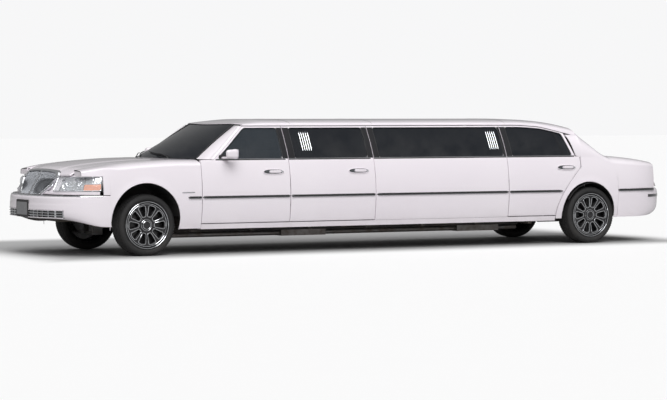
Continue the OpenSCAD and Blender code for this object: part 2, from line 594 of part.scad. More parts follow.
module cowl() color(dark) on_car() {
    block([firewall_x - 14, -pillar_y + 60, floor_z + seat], [firewall_x, pillar_y - 60, belt_z - 80 - seat]);
    scuttle_wall = function(depth) [for (z = [belt_z - 80, belt_z + 4]) [for (v = steps(1, -1, 10))
        [screen_base_x(v) - 4 - depth, v * (half_w - 262), z - (z > belt_z ? 10 * v * v : 0)]]];
    shell(scuttle_wall(8), scuttle_wall(0));
    both_sides() {
        columns = [for (x = steps(firewall_x + seat, 720, 8)) x];
        inner_wing = function(inset) [for (x = columns) let (edge = hood_edge_y(x), top = hood_z(x, edge))
            [[x, rail_y + rail_w - inset, front_rail_z + rail_h + seat], [x, rail_y + rail_w - inset, 862 + inset * 0.6],
             [x, edge + 10 - inset, top - 112 + inset * 0.6], [x, edge + 18 - inset, top - skin - seat - 1]]];
        shell(inner_wing(0), inner_wing(8));
    }
    shell([for (u = [0, 1]) [for (v = steps(1, -1, 8)) let (x = lerp(screen_base_x(v) - 20, hood_rear_x(v) + 40, u))
            [x, v * (half_w - 268), belt_z - (abs(v) > 0.7 ? 66 : 55)]]],
          [for (u = [0, 1]) [for (v = steps(1, -1, 8)) let (x = lerp(screen_base_x(v) - 20, hood_rear_x(v) + 40, u))
            [x, v * (half_w - 268), belt_z - 80]]]);
    both_sides() difference() {
        union() {
            translate([hood_hinge_x, hood_lug_y + 8, hood_hinge_z]) rotate([90, 0, 0])
                cylinder(r = eye_r, h = 16, $fn = 32);
            block([hood_hinge_x - 9, hood_lug_y - 8, belt_z - 76], [hood_hinge_x + 9, hood_lug_y + 8, hood_hinge_z]);
        }
        translate([hood_hinge_x, hood_lug_y + 20, hood_hinge_z]) rotate([90, 0, 0])
            cylinder(r = pin_r + pin_gap, h = 40, $fn = 32);
    }
}

module tail_panel() color(dark) on_car() {
    shelf_z = belt_z - 90;
    block([rear_x - 480, -640, shelf_z - 12], [rear_x + 20, 640, shelf_z]);
    shelf_half = half_w - side_drop(shelf_z) - skin - seat;
    block([rear_x - 40, -shelf_half, shelf_z - 12], [rear_x + 20, shelf_half, shelf_z]);
    back_wall = function(depth) [for (z = [shelf_z - 6, belt_z + 8 - glass - seat]) [for (v = steps(1, -1, 10))
        [backlight_base_x(v) + 8 + depth, v * (lid_edge_y - 8), z]]];
    shell(back_wall(0), back_wall(8));
    block([rear_x - 1010, -600, deck_z + floor_t + seat], [rear_x - 990, 600, lid_bottom_z - 40]);
    both_sides() difference() {
        union() {
            translate([lid_hinge_x, lid_lug_y + 8, lid_hinge_z]) rotate([90, 0, 0])
                cylinder(r = eye_r, h = 16, $fn = 32);
            block([lid_hinge_x - 9, lid_lug_y - 8, shelf_z - 6], [lid_hinge_x + 9, lid_lug_y + 8, lid_hinge_z]);
        }
        translate([lid_hinge_x, lid_lug_y + 20, lid_hinge_z]) rotate([90, 0, 0])
            cylinder(r = pin_r + pin_gap, h = 40, $fn = 32);
    }
}

liner_gap = 4;

// Liners over the wheels, as arcs of sheet from the frame side to the inside of the skin
module liner(centre, radius, z, inner_y, first, last) {
    grid = function(r) [for (a = steps(first, last, 9))
        let (x = centre - r * cos(a), height = z + r * sin(a))
        [[x, half_plan(x) - side_drop(height) - skin - liner_gap, height], [x, inner_y, height]]];
    shell(grid(radius), grid(radius + 8));
}
module wheel_liners() color(dark) on_car() both_sides() {
    liner(front_arch_x, front_arch_r + 4, front_arch_z, rail_y + rail_w + seat, 5, 172);
    liner(rear_x, wheel_r + 46, wheel_r, deck_half + seat, 19, 150);
}

// ---------------------------------------------------------------- cabin
dash_half = pillar_y - 55 - seat;
module dashboard() color(dark) on_car()
    translate([0, dash_half, 0]) rotate([90, 0, 0]) linear_extrude(2 * dash_half) polygon([
        [firewall_x - 14 - seat, 700], [front_lead - 200, 700], [front_lead - 260, 800], [front_lead - 240, 930],
        [front_lead - 60, 985], [firewall_x - 14 - seat, 985]]);
wheel_seat_y = 380;
module steering_wheel() color(dark) on_car() {
    translate([front_lead - 360, wheel_seat_y, 900]) rotate([0, -65, 0]) {
        rotate_extrude($fn = 48) translate([185, 0]) circle(r = 15, $fn = 16);
        cylinder(r = 45, h = 30, center = true, $fn = 32);
        for (a = [90, 210, 330]) rotate([0, 0, a]) translate([30, -15, -8]) cube([150, 30, 16]);
    }
    translate([front_lead, wheel_seat_y + 20, 0]) rotate([90, 0, 0]) linear_extrude(40) polygon([
        [-360, 880], [-255.4 - seat, 830], [-247.7 - seat, 880], [-350, 920]]);
}
module seat_block(x_back, y1, y2, base, height) {
    block([x_back + 190, y1, floor_z + seat], [x_back + 620, y2, base - 130]);
    block([x_back + 150, y1, base - 130], [x_back + 680, y2, base]);
    loft([for (z = [base + seat, base + height]) let (lean = 0.15 * (z - base))
        [[x_back + 30 - lean, y1 + 15, z], [x_back + 170 - lean, y1 + 15, z],
         [x_back + 170 - lean, y2 - 15, z], [x_back + 30 - lean, y2 - 15, z]]]);
}
module front_seats() color(leather) on_car() both_sides() seat_block(middle_lead - 30, 130, 640, 640, 560);
module partition() color(dark) on_car() {
    block([middle_lead - 145, -700, floor_z + seat], [middle_lead - 127, 700, belt_z - 60]);
}
lounge_front = panel_lead - 60;
module lounge_seat() color(leather) on_car() {
    block([rear_x + 190, -deck_half, deck_z + floor_t + seat], [kick_x - 10, deck_half, 770]);
    block([rear_x + 60, -deck_half, deck_z + floor_t + seat], [rear_x + 190, deck_half, 1180]);
    block([rear_lead + 120, -790, floor_z + seat], [lounge_front, -300, 640]);
    block([rear_lead + 120, -790, 640], [lounge_front, -660, 1060]);
}
module bar_console() color(dark) on_car() {
    block([rear_lead + 120, 480, floor_z + seat], [lounge_front, 780, 860]);
    block([rear_lead + 100, 460, 860], [lounge_front + 20, 790, 890]);
}

// ---------------------------------------------------------------- running gear
mount_z = front_rail_z + 60 + seat;
module engine() color(steel) on_car() block([-250, -290, mount_z], [420, 290, 880]);
module driveline() color(steel) on_car() {
    shaft_r = 26;
    shaft_z = cross_z + 30 + shaft_r + 2;
    block([-540, -150, mount_z], [-250 - seat, 150, 700]);
    block([-540, -90, shaft_z - shaft_r], [-345, 90, mount_z + 10]);
    block([-895, -60, shaft_z - shaft_r], [-530, 60, shaft_z + shaft_r - 1]);
    translate([-890, 0, shaft_z]) rotate([0, -90, 0])
        cylinder(r = shaft_r - 2, h = -890 - rear_x - 150 - seat, $fn = 32);
}
module exhaust() color(steel) on_car() both_sides()
    union() {
        translate([-200, 300, rail_z - 40]) rotate([0, -90, 0]) cylinder(r = 30, h = wheelbase - 900, $fn = 24);
        for (x = [front_lead - 1940, kick_x + 290])
            block([x, 200, rail_z - 75], [x + 600, 370, cross_z - seat]);
    }
module fuel_tank() color(dark) on_car()
    block([rear_x - 940, -rail_y + 20, 300], [rear_x - 480, rail_y - 20, kick_z + 10 - seat]);

module arm(x_half, y1, y2, z) {
    block([-x_half, y1, z - 14], [x_half, y2, z + 14]);
    translate([0, kingpin_y, z - 14]) cylinder(r = 26, h = 28, $fn = 32);
}
module front_suspension() color(steel) on_car() both_sides() difference() {
    union() {
        for (side = [-1, 1]) arm(24, rail_y + rail_w + seat, kingpin_y, wheel_r + side * (kingpin_half + 15));
        block([-60, rail_y + rail_w + seat, wheel_r - kingpin_half - 29],
              [60, rail_y + rail_w + 40, wheel_r + kingpin_half + 29]);
    }
    for (side = [-1, 1]) translate([0, kingpin_y, wheel_r + side * (kingpin_half + 15) - 20])
        cylinder(r = 10 + pin_gap, h = 40, $fn = 32);
}
module knuckle(left) color(steel) on_car() on_side(left) translate([0, kingpin_y, wheel_r]) {
    block([-22, -22, -kingpin_half], [22, 22, kingpin_half]);
    translate([0, 0, -kingpin_half - 28]) cylinder(r = 10, h = 2 * kingpin_half + 56, $fn = 32);
    rotate([-90, 0, 0]) cylinder(r = 60, h = hub_reach - seat, $fn = 48);
    rotate([-90, 0, 0]) cylinder(r = spigot_r, h = hub_reach + spigot_h, $fn = 48);
    block([-130, -40, -60], [0, -10, -35]);
}
module rear_axle() color(steel) on_car() {
    hub_face = track_rear / 2 + 45 - seat;
    both_sides() translate([rear_x, 0, wheel_r]) rotate([-90, 0, 0]) {
        cylinder(r = 40, h = hub_face - 25, $fn = 48);
        cylinder(r = 60, h = hub_face - 20, $fn = 48);
        cylinder(r = spigot_r, h = hub_face + spigot_h, $fn = 48);
    }
    translate([rear_x, 0, wheel_r]) rotate([0, 90, 0]) cylinder(r = 120, h = 300, center = true, $fn = 48);
    both_sides() translate([rear_x, rail_y + rail_w / 2, wheel_r]) cylinder(r = 55, h = kick_z - seat - wheel_r, $fn = 32);
}

// Wheels turn about Y
module wheel_at(x, y, left) on_car() on_side(left) translate([x, y, wheel_r]) rotate([-90, 0, 0]) children();
module tyre() {
    bead = flange_d / 2;
    half = tyre_w / 2;
    rotate_extrude($fn = 96) polygon([
        [bead - 16, -half + 12], [bead + 6, -half + 10], [(bead + wheel_r) / 2, -half], [wheel_r - 12, -half + 14],
        [wheel_r, -half + 40], [wheel_r, half - 40], [wheel_r - 12, half - 14], [(bead + wheel_r) / 2, half],
        [bead + 6, half - 10], [bead - 16, half - 12]]);
}
module rim() {
    bead = flange_d / 2;
    half = tyre_w / 2;
    face = 45;
    difference() {
        union() {
            rotate_extrude($fn = 96) polygon([
                [bead - 35, -half + 2], [bead, -half + 2], [bead, -half + 9 - seat], [bead - 16 - seat, -half + 9 - seat],
                [bead - 16 - seat, half - 9 + seat], [bead, half - 9 + seat], [bead, half - 2], [bead - 35, half - 2]]);
            translate([0, 0, face]) cylinder(r = bead - 20, h = 34, $fn = 96);
        }
        translate([0, 0, face - 1]) cylinder(r = spigot_r + pin_gap, h = spigot_h + 2, $fn = 48);
        for (a = [0:36:324]) rotate([0, 0, a]) translate([0, 0, face - 5])
            linear_extrude(50) polygon([[80, -10], [bead - 48, -48], [bead - 48, 48], [80, 10]]);
    }
}

frame();
floor();
body_frame();
roof();
front_fenders();
stretch_panels();
quarter_panels();
cowl();
tail_panel();
front_bumper();
rear_bumper();
grille();
headlamps();
tail_lamps();
fixed_glass();
wheel_liners();
hinge_brackets();
dashboard();
steering_wheel();
front_seats();
partition();
lounge_seat();
bar_console();
engine();
driveline();
exhaust();
fuel_tank();
front_suspension();
rear_axle();
hood();
boot_lid();
front_door(true);  // front_door_left
front_door(false);  // front_door_right
hinged_door(middle_lead, true) middle_door_panel();  // middle_door_left
hinged_door(middle_lead, false) middle_door_panel();  // middle_door_right
hinged_door(rear_lead, true) rear_door_panel();  // rear_door_left
hinged_door(rear_lead, false) rear_door_panel();  // rear_door_right
front_glass(true);  // front_glass_left
front_glass(false);  // front_glass_right
middle_glass(true);  // middle_glass_left
middle_glass(false);  // middle_glass_right
rear_glass(true);  // rear_glass_left
rear_glass(false);  // rear_glass_right
knuckle(true);  // knuckle_left
knuckle(false);  // knuckle_right
color(dark) wheel_at(0, track_front / 2, true) tyre();  // tyre_front_left
color(dark) wheel_at(0, track_front / 2, false) tyre();  // tyre_front_right
color(dark) wheel_at(rear_x, track_rear / 2, true) tyre();  // tyre_rear_left
color(dark) wheel_at(rear_x, track_rear / 2, false) tyre();  // tyre_rear_right
color(chrome) wheel_at(0, track_front / 2, true) rim();  // rim_front_left
color(chrome) wheel_at(0, track_front / 2, false) rim();  // rim_front_right
color(chrome) wheel_at(rear_x, track_rear / 2, true) rim();  // rim_rear_left
color(chrome) wheel_at(rear_x, track_rear / 2, false) rim();  // rim_rear_right
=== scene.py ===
import math
import bmesh
import bpy
import numpy as np
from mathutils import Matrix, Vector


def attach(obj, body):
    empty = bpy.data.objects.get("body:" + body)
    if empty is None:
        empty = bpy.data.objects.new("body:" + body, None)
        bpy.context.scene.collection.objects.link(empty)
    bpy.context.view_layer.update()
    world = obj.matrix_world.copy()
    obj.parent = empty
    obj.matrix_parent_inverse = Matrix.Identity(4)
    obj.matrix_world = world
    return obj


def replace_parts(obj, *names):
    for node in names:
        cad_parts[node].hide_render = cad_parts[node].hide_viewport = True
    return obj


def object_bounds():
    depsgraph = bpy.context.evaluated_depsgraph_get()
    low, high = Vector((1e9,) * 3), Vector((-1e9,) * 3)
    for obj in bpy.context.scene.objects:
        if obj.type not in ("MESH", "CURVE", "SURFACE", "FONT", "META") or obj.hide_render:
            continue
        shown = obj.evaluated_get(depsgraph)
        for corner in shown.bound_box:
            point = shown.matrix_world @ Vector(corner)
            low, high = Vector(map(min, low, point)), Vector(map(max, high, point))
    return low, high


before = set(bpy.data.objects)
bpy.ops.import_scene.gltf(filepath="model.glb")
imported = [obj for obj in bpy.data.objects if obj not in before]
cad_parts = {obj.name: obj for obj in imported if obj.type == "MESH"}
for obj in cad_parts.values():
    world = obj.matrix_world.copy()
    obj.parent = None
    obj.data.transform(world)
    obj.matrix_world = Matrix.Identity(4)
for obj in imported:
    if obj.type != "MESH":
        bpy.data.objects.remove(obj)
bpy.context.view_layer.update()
print("frame loaded")

# The body is worked out with x from the front axle, in metres; makePiece() moves it to the shared frame
car = dict(axleX=3.1195, rearX=-6.038, halfWidth=0.993, roofTop=1.540, sillZ=0.290, beltZ=1.075, doorTopZ=1.455,
    noseX=0.350, noseTip=1.140, nosePower=2.6, tailX=-6.400, tailTip=-7.379, tailPower=2.9, creaseZ=0.660,
    lowerTuck=0.045, upperTuck=0.055, beltY=0.930, topY=0.738, roofEdgeY=0.725, shutGap=0.0075, doorBottom=0.356,
    rockerTop=0.3475)
rearX, halfWidth, beltZ, doorTopZ = car["rearX"], car["halfWidth"], car["beltZ"], car["doorTopZ"]
doorLeads = dict(front=-0.660, middle=-1.800, panel=-2.940, rear=-4.810)
rearTrail = rearX + 0.166


# Mesh helpers: a part is (vertices, faces, material), and a piece is one object made of parts

def grid(rows, columns, closeRows=False, closeColumns=False, start=0):
    # Quads over a rows by columns grid of points, joined round where it closes.
    i, j = np.meshgrid(np.arange(rows if closeRows else rows - 1), np.arange(columns if closeColumns else columns - 1),
        indexing="ij")
    i2, j2 = (i + 1) % rows, (j + 1) % columns
    return start + np.stack([i * columns + j, i2 * columns + j, i2 * columns + j2, i * columns + j2], -1).reshape(-1, 4)


def skin(points, material, closeRows=False, closeColumns=False):
    # An open sheet or a closed ring through a grid of points (rows, columns, 3).
    rows, columns = points.shape[:2]
    return points.reshape(-1, 3), grid(rows, columns, closeRows, closeColumns), material


def shell(outer, inner, material):
    # Two sheets joined by walls along their four edges: each point's row is outer, the way round, and inner.
    rows, columns = outer.shape[:2]
    count = rows * columns
    a = np.arange(count).reshape(rows, columns)
    edge = np.concatenate([a[:-1, 0], a[-1, :-1], a[1:, -1][::-1], a[0, 1:][::-1]])
    after = np.roll(edge, -1)
    walls = np.stack([edge, edge + count, after + count, after], -1)
    faces = np.concatenate([grid(rows, columns), grid(rows, columns, start=count)[:, ::-1], walls])
    return np.concatenate([outer.reshape(-1, 3), inner.reshape(-1, 3)]), faces, material


def mirrored(part):
    # The same part on the other side: y becomes -y, and each face is read backwards.
    verts, faces, material = part
    return verts * [1, -1, 1], faces[:, ::-1], material


def bothSides(parts):
    return list(parts) + [mirrored(p) for p in parts]


def makePiece(name, parts, body, angle=32):
    # Puts parts in one object: doubles merged, faces turned outwards, edges sharper than the angle kept sharp.
    materials, verts, faces, index, start = [], [], [], [], 0
    for v, f, m in parts:
        if m not in materials:
            materials.append(m)
        verts.append(v)
        faces.append(f + start)
        index.append(np.full(len(f), materials.index(m)))
        start += len(v)
    verts, faces, index = np.concatenate(verts).astype(float), np.concatenate(faces), np.concatenate(index)
    verts = verts + [car["axleX"], 0, 0]
    mesh = bpy.data.meshes.new(name)
    mesh.from_pydata(verts, [], faces)
    mesh.polygons.foreach_set("material_index", index.astype(np.int32))
    for m in materials:
        mesh.materials.append(m)
    work = bmesh.new()
    work.from_mesh(mesh)
    bmesh.ops.remove_doubles(work, verts=work.verts, dist=2e-5)
    bmesh.ops.dissolve_degenerate(work, edges=work.edges, dist=1e-6)
    bmesh.ops.recalc_face_normals(work, faces=work.faces)
    work.to_mesh(mesh)
    work.free()
    mesh.polygons.foreach_set("use_smooth", np.ones(len(mesh.polygons), bool))
    mesh.set_sharp_from_angle(angle=math.radians(angle))
    piece = bpy.data.objects.new(name, mesh)
    bpy.context.scene.collection.objects.link(piece)
    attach(piece, body)
    return piece


def circle(radius, count=16, squash=1.0):
    a = np.linspace(0, 2 * np.pi, count, endpoint=False)
    return np.stack([radius * np.cos(a), radius * squash * np.sin(a)], -1)


def pathFrames(path, closed, up):
    # Along a path: its direction, and two directions across it, the second one nearest to up.
    ahead = (np.roll(path, -1, 0) - np.roll(path, 1, 0)) if closed else np.gradient(path, axis=0)
    ahead = ahead / np.linalg.norm(ahead, axis=1, keepdims=True)
    side = np.cross(ahead, np.broadcast_to(up, ahead.shape))
    side = side / np.maximum(np.linalg.norm(side, axis=1, keepdims=True), 1e-9)
    return side, np.cross(side, ahead)


def sweep(profile, path, material, closed=False, up=(0, 0, 1), taper=None):
    # A closed profile of (across, up) points carried along a path; open ends are capped by shrinking to a point.
    path = np.asarray(path, float)
    side, top = pathFrames(path, closed, up)
    scale = np.ones(len(path)) if taper is None else np.asarray(taper)
    points = (path[:, None] + scale[:, None, None] * (profile[None, :, :1] * side[:, None] + profile[None, :,
        1:] * top[:, None]))
    if not closed:
        first, last = points[:1].mean(1, keepdims=True), points[-1:].mean(1, keepdims=True)
        points = np.concatenate([np.repeat(first, len(profile), 1), points, np.repeat(last, len(profile), 1)])
    return skin(points, material, closeRows=closed, closeColumns=True)


def lathe(profile, material, centre=(0, 0, 0), axis="y", count=96):
    # A profile of (radius, along) points turned about an axis through the centre.
    a = np.linspace(0, 2 * np.pi, count, endpoint=False)
    profile = np.asarray(profile, float)
    r, h = profile[None, :, 0], profile[None, :, 1]
    c, s = np.cos(a)[:, None], np.sin(a)[:, None]
    along = h + 0 * c
    points = {"y": np.stack([r * c, along, r * s], -1), "x": np.stack([along, r * c, r * s], -1),
        "z": np.stack([r * c, r * s, along], -1)}[axis]
    return skin(points + np.asarray(centre), material, closeRows=True)


def pillow(low, high, material, power=0.35, crown=0.0, counts=(40, 20), warp=None):
    # A rounded block: a sphere's sines and cosines are raised to a power, so 1 is round and 0 square.
    low, high = np.asarray(low, float), np.asarray(high, float)
    u = np.linspace(0, 2 * np.pi, counts[0], endpoint=False)[None, :]
    v = np.linspace(-np.pi / 2, np.pi / 2, counts[1])[:, None]
    bend = lambda t: np.sign(t) * np.abs(t) ** power
    unit = np.stack([bend(np.cos(v)) * bend(np.cos(u)), bend(np.cos(v)) * bend(np.sin(u)), bend(np.sin(v)) + 0 * u], -1)
    if warp:
        unit = warp(unit)
    if crown:
        unit[..., 2] *= 1 + crown * (1 - unit[..., 0] ** 2) * (1 - unit[..., 1] ** 2)
    return skin((low + high) / 2 + unit * (high - low) / 2, material, closeColumns=True)


def roundedLoop(radiusS, radiusT, side=14, corner=7):
    # Points round the unit square with rounded corners, the same number for any radius, anticlockwise.
    t = np.linspace(0, 1, side, endpoint=False)[1:]
    a = np.linspace(0, np.pi / 2, corner)
    loops, count = [], 4
    corners = [(1, 0, -1), (1, 1, 0), (0, 1, 1), (0, 0, 2)]
    for s, u, turn in corners:
        cs, ct = (1 - radiusS if s else radiusS), (1 - radiusT if u else radiusT)
        angle = a + turn * np.pi / 2
        arc = np.stack([cs + radiusS * np.cos(angle), ct + radiusT * np.sin(angle)], -1)
        loops.append(arc)
    points = []
    for k in range(count):
        points.append(loops[k])
        a0, b0 = loops[k][-1], loops[(k + 1) % count][0]
        points.append(a0 + t[:, None] * (b0 - a0))
    return np.concatenate(points)


def smoothAlong(pairs, x):
    # Curve through listed points, rising and falling only where they do (monotone cubic).
    p = np.asarray(pairs, float)
    xs, ys = p[:, 0], p[:, 1]
    h, d = np.diff(xs), np.diff(ys) / np.diff(xs)
    m = np.concatenate([[d[0]], np.where(d[:-1] * d[1:] > 0, 2 * d[:-1] * d[1:] / np.where(d[:-1] + d[1:] == 0, 1,
        d[:-1] + d[1:]), 0), [d[-1]]])
    x = np.clip(x, xs[0], xs[-1])
    k = np.clip(np.searchsorted(xs, x, side="right") - 1, 0, len(h) - 1)
    t = (x - xs[k]) / h[k]
    return (ys[k] * (1 + 2 * t) * (1 - t) ** 2 + h[k] * m[k] * t * (1 - t) ** 2 + ys[k + 1] * t * t * (3 - 2 * t) + h[k]
        * m[k + 1] * t * t * (t - 1))


def smoothStep(a, b, x):
    t = np.clip((x - a) / (b - a), 0, 1)
    return t * t * (3 - 2 * t)


def lerp(a, b, t):
    return a + (b - a) * t


# Body surface

def halfPlan(x):
    # Half width of the body: straight sides, with a superellipse at the nose and at the tail.
    ahead = np.clip((x - car["noseX"]) / (car["noseTip"] - car["noseX"]), 0, 1)
    behind = np.clip((car["tailX"] - x) / (car["tailX"] - car["tailTip"]), 0, 1)
    return (halfWidth * (1 - ahead ** car["nosePower"]) ** (1 / car["nosePower"]) * (1 - behind ** car["tailPower"]) **
        (1 / car["tailPower"]))


def sideDrop(z):
    # How far the side lies inside its widest line: a parabola below the crease and another above it.
    low = car["lowerTuck"] * ((car["creaseZ"] - z) / (car["creaseZ"] - car["sillZ"])) ** 2
    high = car["upperTuck"] * ((z - car["creaseZ"]) / (beltZ - car["creaseZ"])) ** 2
    return np.where(z < car["creaseZ"], low, high)


def houseY(z):
    # Half width of the glasshouse at a height.
    up = np.clip((z - beltZ) / (doorTopZ - beltZ), 0, None)
    return car["beltY"] - (car["beltY"] - car["topY"]) * up ** 1.2


def sideY(x, z):
    return np.where(z <= beltZ - 0.004, halfPlan(x) - sideDrop(z), houseY(z))


def hoodCentreZ(x):
    s = np.clip((x + 0.360) / 1.257, 0, None)
    return beltZ + 0.025 - 0.134 * (0.35 * s + 0.65 * s ** 3)


def hoodZ(x, y):
    # Hood height: the centre line less a crown, with a raised band between two creases that fan out backwards.
    crease = lerp(0.50, 0.34, smoothStep(-0.4, 0.9, x))
    rise = 0.007 * smoothStep(0.05, -0.05, np.abs(y) - crease) * smoothStep(-0.42, 0.1, x)
    return hoodCentreZ(x) - 0.012 * (y / 0.650) ** 2 - 0.004 + rise


def hoodEdgeY(x):
    return np.minimum(halfWidth - 0.313, halfPlan(x) - 0.130)


def doorTop(x):
    # Top edge of the rear door and roof edge: level, then falling towards the tail.
    return smoothAlong([[rearTrail, doorTopZ - 0.130], [rearX + 0.371, doorTopZ - 0.082], [rearX + 0.684,
        doorTopZ - 0.018], [rearX + 1.038, doorTopZ], [rearX + 1.3, doorTopZ]], x)


def roofDrop(x):
    return smoothAlong([[rearX + 0.100, 0.095], [rearX + 0.190, 0.067], [rearX + 0.467, 0.025], [rearX + 0.741, 0.008],
        [rearX + 1.038, 0], [-1.628, 0], [-1.405, 0.018], [-1.163, 0.056], [-1.0, 0.09]], x)


def roofSideZ(x):
    return doorTop(x) + 0.017


def roofSideY(x):
    return np.where(x < rearX + 1.038, houseY(roofSideZ(x)) - 0.004, car["roofEdgeY"])


def roofZ(x, y):
    # Roof height: the centre line falls to the side line, slowly at first and steeply at the edge.
    centre, side = car["roofTop"] - roofDrop(x), roofSideZ(x)
    v = np.clip(np.abs(y) / roofSideY(x), 0, 1)
    return side + (centre - side) * np.maximum(1 - v ** 2.6, 1e-5) ** 0.45


def screenTopX(v):
    return -1.163 - 0.140 * v * v


def screenBaseX(v):
    return -0.375 - 0.333 * v * v


def backTopX(y):
    return rearX + 0.186 - 0.040 * np.minimum(np.abs(y) / 0.6, 1) ** 2


def backBaseX(v):
    return rearX - 0.400 + 0.200 * v * v


def deckZ(x):
    return smoothAlong([[car["tailTip"], beltZ - 0.130], [rearX - 1.050, beltZ - 0.082], [rearX - 0.7, beltZ - 0.030],
        [rearX - 0.300, beltZ + 0.005], [rearX, beltZ + 0.02]], x)


def nosePoint(angle, z, setback):
    # Point of the nose: the plan's superellipse at an angle from straight ahead, set back.
    reach = car["noseTip"] - car["noseX"] - setback
    return np.stack([car["noseX"] + reach * np.cos(angle) ** (2 / car["nosePower"]),
        (halfWidth - sideDrop(z)) * np.sin(angle) ** (2 / car["nosePower"]), z + 0 * angle], -1)


def noseSetback(z):
    return 0.128 + 0.62 * (z - 0.748)


def tailPoint(angle, z, setback):
    reach = car["tailX"] - car["tailTip"] - setback
    return np.stack([car["tailX"] - reach * np.cos(angle) ** (2 / car["tailPower"]),
        (halfWidth - sideDrop(z)) * np.sin(angle) ** (2 / car["tailPower"]), z + 0 * angle], -1)


def rearEdge(z):
    # Rear edge of the rear door: it curls forward over the wheel arch, and leans above the belt.
    low = rearTrail + 0.370 * (1 - np.clip((z - car["doorBottom"]) / (0.940 - car["doorBottom"]), 0, 1) ** 1.7)
    high = rearTrail + 0.060 + 0.090 * (z - beltZ) / (doorTopZ - beltZ)
    return np.where(z <= beltZ - 0.004, low, high)


def frontEdge(z):
    return np.where(z <= beltZ - 0.004, doorLeads["front"], doorLeads["front"] - 0.170 - 1.2 * (z - beltZ))


def frontWindowEdge(z):
    return frontEdge(np.maximum(z, beltZ + 0.001)) - 0.032


# Materials: shared effects are node groups, and each finish has its own values

def groupSockets(group, inputs, outputs):
    for name, kind, value in inputs:
        socket = group.interface.new_socket(name, in_out="INPUT", socket_type="NodeSocket" + kind)
        socket.default_value = value
    for name, kind in outputs:
        group.interface.new_socket(name, in_out="OUTPUT", socket_type="NodeSocket" + kind)


def node(tree, kind, **values):
    # A node with its settings and input values given by name (an underscore stands for a space).
    made = tree.nodes.new(kind)
    for key, value in values.items():
        if hasattr(made, key):
            setattr(made, key, value)
        else:
            made.inputs[key.replace("_", " ")].default_value = value
    return made


def mathNode(tree, operation, a, b=None, c=None):
    made = tree.nodes.new("ShaderNodeMath")
    made.operation = operation
    for k, value in enumerate((a, b, c)):
        if value is None:
            continue
        if isinstance(value, (int, float)):
            made.inputs[k].default_value = value
        else:
            tree.links.new(value, made.inputs[k])
    return made.outputs[0]


def mixColour(tree, factor, a, b, blend="MIX"):
    made = tree.nodes.new("ShaderNodeMix")
    made.data_type, made.blend_type = "RGBA", blend
    for socket, value in ((made.inputs[0], factor), (made.inputs[6], a), (made.inputs[7], b)):
        if isinstance(value, (int, float, tuple)):
            socket.default_value = value
        else:
            tree.links.new(value, socket)
    return made.outputs[2]


def buildDust():
    # Road dust: more of it low down and in patches. Puts out a mask from 0 to 1.
    group = bpy.data.node_groups.new("roadDust", "ShaderNodeTree")
    groupSockets(group, [("Vector", "Vector", (0, 0, 0)), ("Low", "Float", 0.1), ("High", "Float", 0.7), ("Patch Scale",
        "Float", 3.0), ("Amount", "Float", 0.5)], [("Mask", "Float")])
    enter, leave = group.nodes.new("NodeGroupInput"), group.nodes.new("NodeGroupOutput")
    split = group.nodes.new("ShaderNodeSeparateXYZ")
    group.links.new(enter.outputs["Vector"], split.inputs[0])
    height = node(group, "ShaderNodeMapRange", interpolation_type="SMOOTHSTEP")
    group.links.new(split.outputs["Z"], height.inputs["Value"])
    group.links.new(enter.outputs["High"], height.inputs["From Min"])
    group.links.new(enter.outputs["Low"], height.inputs["From Max"])
    patch = node(group, "ShaderNodeTexNoise", Detail=6.0, Roughness=0.65)
    group.links.new(enter.outputs["Vector"], patch.inputs["Vector"])
    group.links.new(enter.outputs["Patch Scale"], patch.inputs["Scale"])
    spread = node(group, "ShaderNodeMapRange", From_Min=0.35, From_Max=0.7)
    group.links.new(patch.outputs["Fac"], spread.inputs["Value"])
    mask = mathNode(group, "MULTIPLY", height.outputs[0], spread.outputs[0])
    group.links.new(mathNode(group, "MULTIPLY", mask, enter.outputs["Amount"]), leave.inputs["Mask"])
    return group


def buildEdgeWear():
    # Wear along edges: where the surface bends sharply, broken up by noise. Puts out a mask.
    group = bpy.data.node_groups.new("edgeWear", "ShaderNodeTree")
    groupSockets(group, [("Vector", "Vector", (0, 0, 0)), ("Pointiness", "Float", 0.5), ("Width", "Float", 0.06),
        ("Breakup Scale", "Float", 60.0), ("Amount", "Float", 0.5)], [("Mask", "Float")])
    enter, leave = group.nodes.new("NodeGroupInput"), group.nodes.new("NodeGroupOutput")
    over = mathNode(group, "SUBTRACT", enter.outputs["Pointiness"], 0.52)
    share = mathNode(group, "DIVIDE", over, enter.outputs["Width"])
    noise = node(group, "ShaderNodeTexNoise", Detail=5.0, Roughness=0.6)
    group.links.new(enter.outputs["Vector"], noise.inputs["Vector"])
    group.links.new(enter.outputs["Breakup Scale"], noise.inputs["Scale"])
    broken = mathNode(group, "MULTIPLY", share, mathNode(group, "MULTIPLY", noise.outputs["Fac"], 1.6))
    clamp = group.nodes.new("ShaderNodeClamp")
    group.links.new(broken, clamp.inputs[0])
    group.links.new(mathNode(group, "MULTIPLY", clamp.outputs[0], enter.outputs["Amount"]), leave.inputs["Mask"])
    return group


